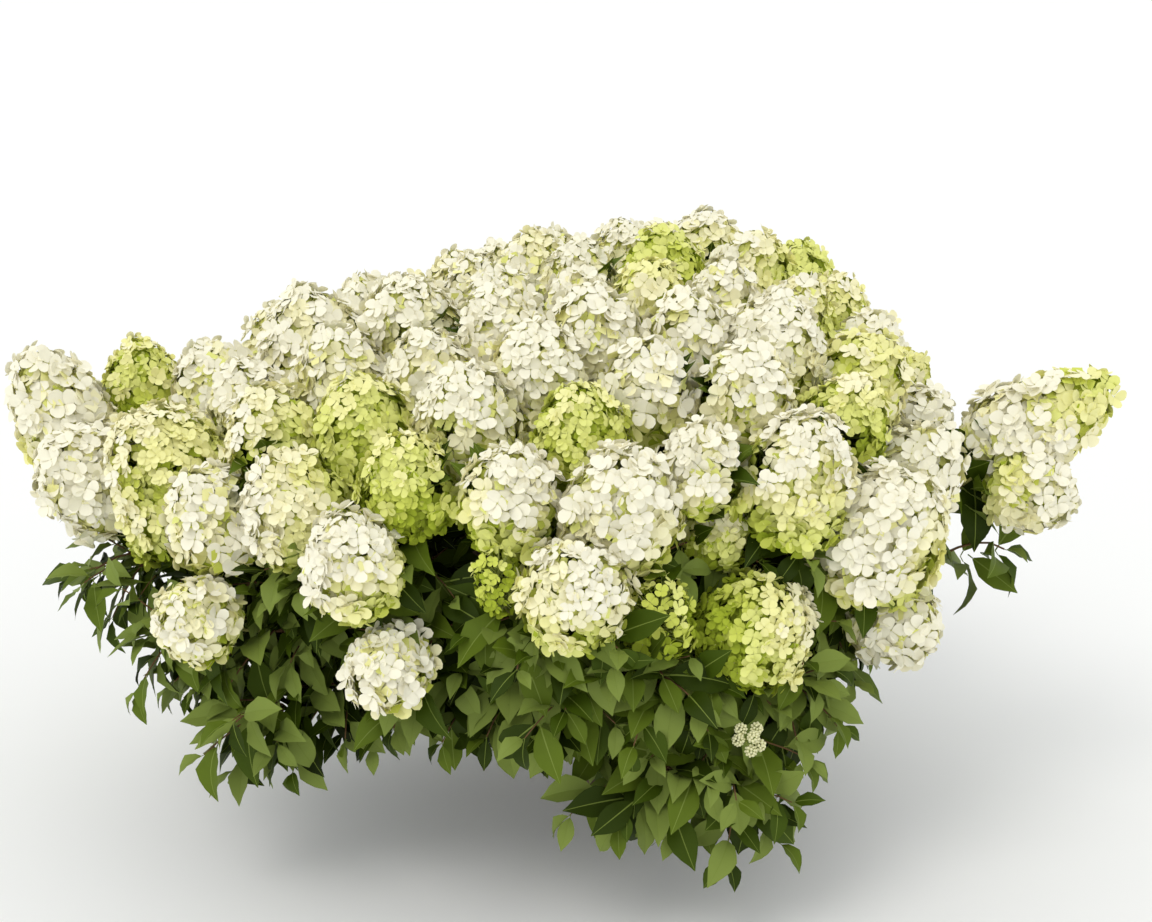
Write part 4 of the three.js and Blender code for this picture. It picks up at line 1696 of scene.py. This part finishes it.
@dataclass
class Foliage:
    """The leaves, in opposite pairs, dealt out to a few greens, with painted shade deep inside and
    painted light on leaves that look up.
    """

    room: Room
    planter: Planter
    seed: int = 77
    length: tuple[float, float] = (62, 96)
    swing: float = 0.5
    forward: float = 0.55
    last_forward: float = 2.2
    droop: tuple[float, float] = (0.1, 0.85)
    droop_height: float = 150
    droop_by_height: tuple[float, float] = (0.4, 0.9)
    face_out: float = 0.9
    face_swing: float = 0.9
    nudge: float = 1e-6
    tested: tuple[float, ...] = (0.45, 0.75, 1.0)
    gap_length: float = 1.05
    gap_forms: int = 3
    gap_greens: tuple[int, int] = (1, 3)
    shade_least: float = 0.13
    painted_shade_deep: float = 1.1
    shade_chance: float = 1.05
    shade_middle: float = 0.4
    painted_light_up: float = 0.15
    # A leaf's green differs by chance, and also holds painted shade deep inside the shrub and
    # painted light where the leaf looks up.
    greens: tuple[PlainFinish, ...] = (
        PlainFinish("leaf_light", (122, 138, 62), 0.55),
        PlainFinish("leaf_fresh", (89, 107, 26), 0.55),
        PlainFinish("leaf_mid", (62, 80, 9), 0.55),
        PlainFinish("leaf_deep", (45, 60, 4), 0.58),
        PlainFinish("leaf_dark", (28, 38, 2), 0.6),
    )
    rib: PlainFinish = PlainFinish("leaf_rib", (118, 134, 58), 0.55)
    shapes: tuple[LeafShape, ...] = (
        LeafShape("leaf_1", 0.3, 0.55, 0.008),
        LeafShape("leaf_2", 0.5, 0.9, 0.006),
        LeafShape("leaf_3", 0.14, 0.25, 0.015),
        LeafShape("leaf_4", 0.34, 1.35, 0.01),
        LeafShape("leaf_5", 0.22, 0.75, 0.018),
    )

    def build(self, pairs: list[LeafPair], gap_leaves: list[GapLeaf]) -> None:
        """Set the leaves.

        Args:
            pairs: where pairs of leaves face each other.
            gap_leaves: the leaves that stand between heads.
        """
        heart = vec(self.room.growth.dome.heart)
        draw = seeded(self.seed)
        scatters = [Scatter() for _ in self.greens]
        for at, way, turn, size, last in pairs:
            outward = unit((at - heart) * np.array([1, 1, 0]) + ACROSS * self.nudge)
            sides = square(way, not_steep(way))
            forward = self.forward * (self.last_forward if last else 1.0)
            low = clamped((heart[2] - at[2]) / self.droop_height + 0.5)
            for flip in (0, math.pi):
                sideways = around(sides, turn + flip + swing(draw, self.swing))
                drop = UP * between(self.droop, draw()) * line(self.droop_by_height, low)
                leaf_way = unit(sideways + way * forward - drop)
                length = size * between(self.length, draw())
                form = int(draw() * len(self.shapes))
                chance = draw()
                if self.fits(at, leaf_way, length):
                    wanted = outward * self.face_out + UP + jolt(draw) * self.face_swing
                    face, _ = square(leaf_way, wanted)
                    scatters[self.shade(at, face, chance)].put(at, face, leaf_way, length, form)
        placed = sum(len(scatter.shapes) for scatter in scatters)
        LOG.info("foliage: %d leaves of %d", placed, 2 * len(pairs))
        first, count = self.gap_greens
        for root, tip, out, chance in gap_leaves:
            leaf_way = unit(tip - root)
            face, _ = square(leaf_way, -out)
            form = int(draw() * self.gap_forms)
            length = apart(tip, root) * self.gap_length
            scatters[first + int(chance * count)].put(root, face, leaf_way, length, form)
        shapes = shape_collection("leaf_shapes", self.shapes)
        rib = self.rib.make()
        for finish, scatter in zip(self.greens, scatters):
            self.planter.plant(finish.name, scatter, shapes, finish.make(), rib)
        clear_shapes(shapes)

    def fits(self, at: np.ndarray, way: np.ndarray, length: float) -> bool:
        """Tell whether a leaf stays out of the heads and above the ground.

        Args:
            at: the leaf's foot.
            way: the way that it points.
            length: its length.

        Returns:
            Whether it does.
        """
        points = at + np.outer(np.array(self.tested) * length, way)
        if points[:, 2].min() < self.room.lowest:
            return False
        return not self.room.in_head(points, self.room.head_share)

    def shade(self, at: np.ndarray, face: np.ndarray, chance: float) -> int:
        """Choose the green of a leaf: lighter or darker by chance, with painted light where it
        looks up and painted shade deep inside.

        Args:
            at: the leaf's foot.
            face: the way that its upper side looks.
            chance: a number by chance.

        Returns:
            The number of the green, from the lightest.
        """
        _, far, rim = self.room.growth.dome.locate(at)
        deep = 1 - min(1.0, far / math.hypot(rim[0], rim[1]))
        # Painted shade: leaves deep inside the shrub take darker greens.
        value = self.shade_least + self.painted_shade_deep * deep
        value += self.shade_chance * (chance - self.shade_middle)
        # Painted light: leaves whose upper side looks up take lighter greens.
        return step_of(value - self.painted_light_up * float(face[2]), len(self.greens))


@dataclass
class Blossom:
    """The flower heads: florets over a rounded cone on pale stalks, greener below and within,
    partly their own colour and partly painted shade.
    """

    room: Room
    planter: Planter
    profile: tuple[tuple[float, float, float], ...] = (
        (0.0, 0.34, 0.38), (0.05, 0.66, 0.7), (0.16, 0.92, 0.95), (0.3, 1.0, 1.0), (0.5, 0.96, 0.9),
        (0.68, 0.83, 0.72), (0.83, 0.62, 0.5), (0.94, 0.36, 0.28), (1.0, 0.1, 0.1),
    )
    profile_steps: int = 60
    probe: float = 0.02
    seeds: tuple[int, int] = (700, 60)
    white_width: tuple[float, float] = (30, 38)
    lime_width: tuple[float, float] = (20, 25)
    small_head: tuple[float, float, float] = (0.6, 0.4, 115)
    width_by_share: tuple[float, float] = (1.08, -0.26)
    width_by_chance: tuple[float, float] = (0.85, 0.3)
    floret_area: float = 0.6
    crowding: float = 2.15
    lime_crowding: float = 2.0
    young_lime: float = 0.7
    swell: tuple[float, float] = (0.96, 1.2)
    stray_swell: float = 0.97
    dome_cone: float = 0.7
    stray_cone: float = 0.3
    share_swing: float = 0.03
    angle_swing: float = 0.3
    lump: float = 0.3
    lump_pitch: float = 2.0
    lump_shift: float = 1.7
    lump_fade: float = 5
    lump_swing: float = 0.07
    inner_share: float = 0.75
    inner_depth: float = 0.84
    inner_size: float = 1.3
    tilt: float = 0.64
    sparse_tilt: float = 1.4
    upright: float = 0.12
    neighbour_share: float = 0.8
    hidden_share: float = 0.14
    leaf_room: float = 13
    leaf_shares: tuple[float, float, int] = (0.5, 1.0, 6)
    main_stalk: Gauge = Gauge((2.0, 0.9), 0.3, 4, 5)
    side_stalk: Gauge = Gauge((0.95, 0.55), 0.3, 2, 3)
    main_reach: float = 0.85
    main_sink: float = 4
    side_stalks: int = 18
    side_foot: tuple[float, float, float] = (2.0, 0.72, 10)
    side_lean: float = 0.5
    side_end: float = 1.5
    most_in_piece: int = 4700
    # Six tints from white to green; a floret's tint holds its own colour together with painted
    # light and painted shade.
    tints: tuple[PlainFinish, ...] = (
        PlainFinish("petals_white", (248, 244, 222)),
        PlainFinish("petals_cream", (248, 243, 201)),
        PlainFinish("petals_pale", (243, 240, 169)),
        PlainFinish("petals_lime_pale", (229, 232, 138)),
        PlainFinish("petals_lime", (210, 218, 99)),
        PlainFinish("petals_green", (174, 189, 58)),
    )
    tint_least: float = 0.03
    tint_lime: float = 0.8
    # Painted light and shade: florets that stand out are whiter, those in hollows greener.
    lump_light_and_shade: float = 1.1
    tint_chance: float = 0.1
    # Greener low on a head and in the layer below: partly the florets' own colour, partly painted
    # shade.
    green_and_shade_low: float = 0.48
    low_share: float = 0.45
    green_and_shade_deep: float = 0.48
    tint_top: float = 0.5
    top_share: float = 0.6
    eye: PlainFinish = PlainFinish("floret_eye", (206, 204, 130), 0.6)
    bud: PlainFinish = PlainFinish("buds", (232, 230, 184), 0.5)
    pale_stalk: PlainFinish = PlainFinish("flower_stalks", (186, 196, 108), 0.6)
    shapes: tuple[FloretShape, ...] = (
        FloretShape("floret_1", 0.3, 0.9, 0.22, 31),
        FloretShape("floret_2", 0.8, -0.8, 0.25, 32),
        FloretShape("floret_3", -0.35, -0.5, 0.2, 33),
        FloretShape("floret_4", 1.1, 1.0, 0.2, 34),
        FloretShape("floret_5", 0.1, 1.6, 0.3, 35),
    )
    inner_shape: InnerFloretShape = InnerFloretShape("floret_6")
    lime_usual: tuple[float, float] = (0.05, 0.36)
    lime_often: float = 0.16
    lime_strong: tuple[float, float] = (0.5, 0.85)
    lime_power: float = 1.5
    lime_swing: float = 0.08
    limes: tuple[tuple, ...] = (
        ((0, -150, 640), 230, 0.16, (0, 0, -0.1)),
        ((-320, 0, 610), 150, 0.16, (0, 0, -0.12)),
        ((-500, 20, 560), 130, 0.18, (0, 0, -0.12)),
        ((0, -360, 530), 180, 0.12, (0, 0, -0.15)),
        ((340, -160, 500), 130, 0.06, (0, 0, -0.25)),
        ((320, 100, 570), 90, 0.75, (0, 0, -0.3)),
        ((60, 150, 690), 150, 0.4, (0, 0, -0.35)),
        ((-164, 331, 600), 50, 0.35, (0, 0, -0.2)),
        ((-413, -179, 549), 50, 0.5, (0.25, 0, -0.15)),
        ((-301, -220, 578), 60, 0.74, (0, 0, -0.1)),
        ((-245, -327, 551), 60, 0.8, (0, 0, -0.15)),
        ((-374, -301, 513), 50, 0.3, (0.4, 0, 0.1)),
        ((-303, -392, 486), 50, 0.12, (0.25, 0, -0.15)),
        ((-128, -356, 543), 50, 0.28, (-0.3, 0, -0.35)),
        ((-50, -286, 593), 50, 0.86, (0, 0, -0.1)),
        ((-57, -425, 459), 50, 0.32, (-0.15, 0, -0.25)),
        ((53, 90, 686), 50, 0.98, (0, 0, -0.15)),
        ((34, -24, 679), 40, 0.45, (0, 0, 0.1)),
        ((168, 98, 674), 50, 0.45, (0.4, 0, -0.2)),
        ((231, 203, 635), 60, 1.0, (0, 0, -0.2)),
        ((273, 105, 626), 60, 0.8, (-0.1, 0, -0.4)),
        ((216, -11, 652), 50, 0.45, (0.3, 0, -0.2)),
        ((284, -107, 599), 50, 0.4, (0, 0, 0.25)),
        ((348, 85, 533), 50, 0.8, (0, 0, -0.2)),
        ((255, -210, 582), 50, 0.82, (0, 0, -0.25)),
        ((195, -300, 551), 50, 0.32, (-0.1, 0, -0.35)),
        ((85, -323, 569), 50, 0.15, (0, 0, -0.35)),
        ((-620, 70, 548), 50, 0.75, (0, 0, -0.25)),
        ((-585, 123, 469), 50, 0.6, (0, 0, -0.2)),
        ((-550, -133, 487), 50, 0.52, (0.25, 0, -0.1)),
        ((-655, -110, 482), 50, 0.0, (0, 0, -0.08)),
        ((-715, 0, 540), 50, 0.03, (0, 0, -0.12)),
        ((-500, -330, 372), 50, 0.25, (0, 0, 0)),
        ((-268, -425, 345), 50, 0.0, (0, 0, 0)),
        ((150, -350, 386), 40, 0.82, (-0.5, 0, 0)),
        ((106, -292, 482), 40, 0.6, (0, 0, -0.4)),
        ((37, -385, 414), 40, 0.92, (0, 0, 0)),
        ((-140, -395, 462), 40, 0.98, (0, 0, 0)),
        ((295, -275, 476), 40, 0.14, (0.4, 0, -0.3)),
        ((325, -262, 350), 40, 0.0, (0, 0, 0)),
        ((525, -40, 530), 50, 0.2, (0.4, 0, 0.1)),
    )
    sparse: tuple[tuple, ...] = (((37, -385, 414), 40, 0.5), ((-140, -395, 462), 40, 0.5))
    bud_head_width: float = 70
    bud_stalk: Gauge = Gauge((1.2, 0.7), 0.3, 3, 4)
    bud_clusters: int = 6
    bud_aside: tuple[float, float] = (0.0, 0.28)
    bud_lift: tuple[float, float] = (0.66, 0.42)
    bud_count: int = 26
    bud_cap: float = 1.5
    bud_out: float = 0.12
    bud_turn: float = 0.3
    bud_width: float = 3.8
    bud_sizes: tuple[float, float] = (0.8, 0.4)
    leaf_points: np.ndarray = field(init=False)
    scatters: list[Scatter] = field(init=False)
    buds: Scatter = field(default_factory=Scatter)
    stalks: Skin = field(default_factory=Skin)

    def build(self, gap_leaves: list[GapLeaf]) -> None:
        """Make every head.

        Args:
            gap_leaves: the leaves that stand between heads.
        """
        heads = self.room.growth.heads
        shares = np.linspace(*self.leaf_shares)[:, None]
        self.leaf_points = np.concatenate([
            leaf.root + (leaf.tip - leaf.root) * shares for leaf in gap_leaves
        ])
        self.scatters = [Scatter() for _ in self.tints]
        for k, head in enumerate(heads):
            draw = seeded(self.seeds[0] + k)
            self.tint(head, draw)
            if head.width < self.bud_head_width and head.open == 1:
                self.bud_head(head, draw)
            else:
                self.dress(k, head, draw)
        shapes = shape_collection("floret_shapes", (*self.shapes, self.inner_shape))
        eye = self.eye.make()
        for finish, scatter in zip(self.tints, self.scatters):
            material = finish.make()
            for i, part in enumerate(scatter.parts(self.most_in_piece)):
                self.planter.plant(f"{finish.name}_{i + 1}", part, shapes, material, eye)
        clear_shapes(shapes)
        shapes = shape_collection("bud_shapes", [BeadShape()])
        self.planter.plant(self.bud.name, self.buds, shapes, self.bud.make(), eye)
        clear_shapes(shapes)
        settle(self.stalks.piece(self.pale_stalk.name, [self.pale_stalk.make()]), Slot.BLOOM)
        LOG.info("%s: stalks of %d heads", self.pale_stalk.name, len(heads))

    def tint(self, head: Head, draw: Draw) -> None:
        """Choose how green a head is and how open, by chance and by where it is.

        Args:
            head: the head.
            draw: a stream of numbers.
        """
        span = self.lime_usual if draw() > self.lime_often else self.lime_strong
        head.lime = between(span, draw() ** self.lime_power)
        for place, reach, lime, slope in self.limes:
            if apart(head.at, vec(place)) < reach:
                head.lime = lime + swing(draw, self.lime_swing)
                head.slope = vec(slope)
        for place, reach, opened in self.sparse:
            if apart(head.at, vec(place)) < reach:
                head.open = opened

    def dress(self, index: int, head: Head, draw: Draw) -> None:
        """Cover one head with florets.

        Args:
            index: the head's number.
            head: the head.
            draw: a stream of numbers.
        """
        shares, round_radii, cone_radii = np.array(self.profile).T
        cone = draw() * (self.stray_cone if head.stray else self.dome_cone)
        radii = round_radii * (1 - cone) + cone_radii * cone
        steps = np.linspace(0, 1, self.profile_steps)
        curve = np.interp(steps, shares, radii)
        grown = between(self.swell, seeded(index + self.seeds[1])())
        swell = self.stray_swell if head.stray else grown
        half, length = head.width / 2 * swell, head.length * swell
        ring = np.hypot(np.diff(steps) * length, np.diff(curve) * half)
        area = np.concatenate([[0], np.cumsum((curve[1:] + curve[:-1]) / 2 * half * TURN * ring)])
        young = min(1.0, head.lime / self.young_lime)
        widths = np.array(self.white_width) * (1 - young) + np.array(self.lime_width) * young
        least, more, full = self.small_head
        size = float(between(widths, draw())) * min(1.0, least + more * head.width / full)
        crowding = (self.crowding * (1 - young) + self.lime_crowding * young) * head.open
        sides = square(head.axis, not_across(head.axis))
        foot = head.at - head.axis * length / 2
        outer = int(crowding * area[-1] / (self.floret_area * size**2))
        inner = int(outer * self.inner_share) if head.open == 1 else 0
        tilt = self.sparse_tilt if head.open < 1 else 1
        turn = draw() * TURN
        ends = []
        for i in range(outer + inner):
            deep = i >= outer
            place = (i - outer + 0.5) / inner if deep else (i + 0.5) / outer
            share = float(np.interp(place * area[-1], area, steps)) + swing(draw, self.share_swing)
            share = clamped(share)
            radial = around(sides, turn + i * GOLDEN_ANGLE + swing(draw, self.angle_swing))
            above, below = np.interp([share + self.probe, share - self.probe], shares, radii)
            rise = float((above - below) / (2 * self.probe))
            normal = unit(radial * length - head.axis * rise * half)
            spot = (radial + head.axis * share * 2.0) * self.lump_pitch + index * self.lump_shift
            lump = noise.noise(Vector(spot)) * self.lump * min(1.0, self.lump_fade * (1 - share))
            lump += swing(draw, self.lump_swing)
            scale = (self.inner_depth if deep else 1.0) + lump
            radius = float(np.interp(share, shares, radii)) * half * scale
            reach = (share - 0.5) * (scale if share > 0.5 else 1.0)
            at = foot + head.axis * length * (0.5 + reach) + radial * radius
            up = unit(normal + jolt(draw) * self.tilt * tilt + UP * self.upright)
            ahead = jolt(draw)
            width = size * line(self.width_by_share, share) * line(self.width_by_chance, draw())
            width *= self.inner_size if deep else 1.0
            form = int(draw() * len(self.shapes))
            tint = self.floret_tint(head, share, lump, (at - head.at) / half, deep, draw())
            hidden = not head.leafy and share < self.hidden_share
            if hidden or self.room.in_head(at[None], self.neighbour_share, index):
                continue
            if np.linalg.norm(self.leaf_points - at, axis=1).min() >= self.leaf_room:
                self.scatters[tint].put(at, up, ahead, width, len(self.shapes) if deep else form)
                ends.append(at - up * self.side_end)
        self.grow_stalks(head, foot, length, ends, draw)

    def floret_tint(self, head: Head, share: float, lump: float, aside: np.ndarray, deep: bool,
                    chance: float) -> int:
        """Choose the tint of a floret: white on top, greener low down and within, partly by its own
        colour and partly by painted shade; whiter where it stands out and greener in hollows, by
        painted light and shade.

        Args:
            head: the floret's head.
            share: how far up the head it is.
            lump: how far it stands out.
            aside: its place as seen from the head's middle, in half widths.
            deep: whether it is in the layer below.
            chance: a number by chance.

        Returns:
            The number of the tint, from the whitest.
        """
        lime = head.lime + float(head.slope @ aside)
        # Painted light where a floret stands out, painted shade where it sits in a hollow.
        value = self.tint_least + self.tint_lime * lime - self.lump_light_and_shade * lump
        value += self.tint_chance * (chance - 0.5)
        # Painted shade, with the florets' own greening, low on the head and in the layer below.
        value += (self.green_and_shade_low * max(0.0, self.low_share - share) / self.low_share
                  + (self.green_and_shade_deep if deep else 0.0))
        value -= self.tint_top * lime * max(0.0, share - self.top_share)
        return step_of(value, len(self.tints))

    def grow_stalks(self, head: Head, foot: np.ndarray, length: float, ends: list[np.ndarray],
                    draw: Draw) -> None:
        """Grow the head's main stalk and its branches to some of the florets.

        Args:
            head: the head.
            foot: where the main stalk comes into it.
            length: the head's length.
            ends: where florets sit.
            draw: a stream of numbers.
        """
        top = foot + head.axis * length * self.main_reach
        self.stalks.limb((foot - head.axis * self.main_sink, head.axis), (top, head.axis),
                         self.main_stalk)
        count = self.side_stalks if head.open == 1 else len(ends)
        least, share, back = self.side_foot
        for end in ends[::max(1, len(ends) // max(1, count))]:
            up = float((end - foot) @ head.axis)
            start = foot + head.axis * max(least, up * share - back * draw())
            way = unit(end - start)
            start_way = unit(way + head.axis * self.side_lean)
            self.stalks.limb((start, start_way), (end, way), self.side_stalk)

    def bud_head(self, head: Head, draw: Draw) -> None:
        """Make a head that is still in bud: beads in small domed clusters.

        Args:
            head: the head.
            draw: a stream of numbers.
        """
        sides = square(head.axis, ACROSS)
        foot = head.at - head.axis * head.length / 2
        for k in range(self.bud_clusters):
            aside = head.width * self.bud_aside[min(k, 1)]
            lift = head.length * self.bud_lift[min(k, 1)]
            middle = foot + head.axis * lift + around(sides, k * GOLDEN_ANGLE) * aside
            way = unit(middle - foot)
            self.stalks.limb((foot, head.axis), (middle, way), self.bud_stalk)
            across, over = square(way, ACROSS)
            for i in range(self.bud_count):
                polar = math.acos(1 - (i + 0.5) / self.bud_count * self.bud_cap)
                aslant = around((across, over), i * GOLDEN_ANGLE)
                out = aslant * math.sin(polar) + way * math.cos(polar)
                self.buds.put(middle + out * head.width * self.bud_out, unit(out),
                              across + over * self.bud_turn,
                              self.bud_width * line(self.bud_sizes, draw()), 0)


@dataclass
class Studio:
    """Plain pale floor, soft light from the upper left, and the camera at the photo's angle."""

    target: Point = (-0.04, 0.0, 0.4)
    distance: float = 2.6
    elevation: float = math.radians(20)
    lens: float = 63.0
    sensor: float = 36.0
    shift: tuple[float, float] = (-0.0122, 0.0399)
    clip: float = 200.0
    sky: float = 0.98
    sky_colour: tuple[float, ...] = (0.97, 0.985, 1.0, 1.0)
    sun: float = 0.62
    sun_colour: Point = (1.0, 0.975, 0.94)
    sun_way: Point = (0.42, 0.5, -0.9)
    sun_spread: float = math.radians(28)
    floor_half: float = 30.0
    floor_finish: PlainFinish = PlainFinish("floor", (245, 245, 243), 0.9)

    @staticmethod
    def aimed(name: str, data: bpy.types.ID, way: Vector) -> bpy.types.Object:
        """Put a light or a camera in the scene.

        Args:
            name: its name.
            data: the light or the camera.
            way: the way that it looks.

        Returns:
            Its object.
        """
        made = linked(bpy.data.objects.new(name, data))
        made.rotation_euler = way.to_track_quat("-Z", "Y").to_euler()
        return made

    def build(self) -> None:
        """Make the floor, the light and the camera."""
        floor, far = Skin(), self.floor_half
        floor.add([(-far, -far, 0), (far, -far, 0), (far, far, 0), (-far, far, 0)], [(0, 1, 2, 3)])
        floor.piece("floor", [self.floor_finish.make()], smooth=False, scale=1.0)
        scene = bpy.context.scene
        scene.world = bpy.data.worlds.new("studio")
        scene.world.use_nodes = True
        preset(scene.world.node_tree.nodes["Background"], {
            "Color": self.sky_colour, "Strength": self.sky,
        })
        light = bpy.data.lights.new("key", "SUN")
        light.energy, light.angle, light.color = self.sun, self.sun_spread, self.sun_colour
        self.aimed("key", light, Vector(self.sun_way))
        lens = bpy.data.cameras.new("camera")
        lens.lens, lens.sensor_width, lens.clip_end = self.lens, self.sensor, self.clip
        lens.shift_x, lens.shift_y = self.shift
        back = Vector((0.0, -math.cos(self.elevation), math.sin(self.elevation)))
        scene.camera = self.aimed("camera", lens, -back)
        scene.camera.location = Vector(self.target) + back * self.distance
        scene.view_settings.view_transform = "Standard"
        LOG.info("studio: floor, light and camera")


def main() -> None:
    """Build the shrub from the stem outwards, then the studio."""
    logging.basicConfig(level=logging.INFO, format="%(message)s")
    growth = Growth()
    growth.grow()
    room = Room(growth)
    room.measure()
    planter = Planter()
    planter.build()
    Wood(growth).build()
    twigs = Twiggery(growth, room)
    twigs.build()
    Foliage(room, planter).build(twigs.leaf_pairs, twigs.gap_leaves)
    Blossom(room, planter).build(twigs.gap_leaves)
    Studio().build()


if __name__ == "__main__":
    main()
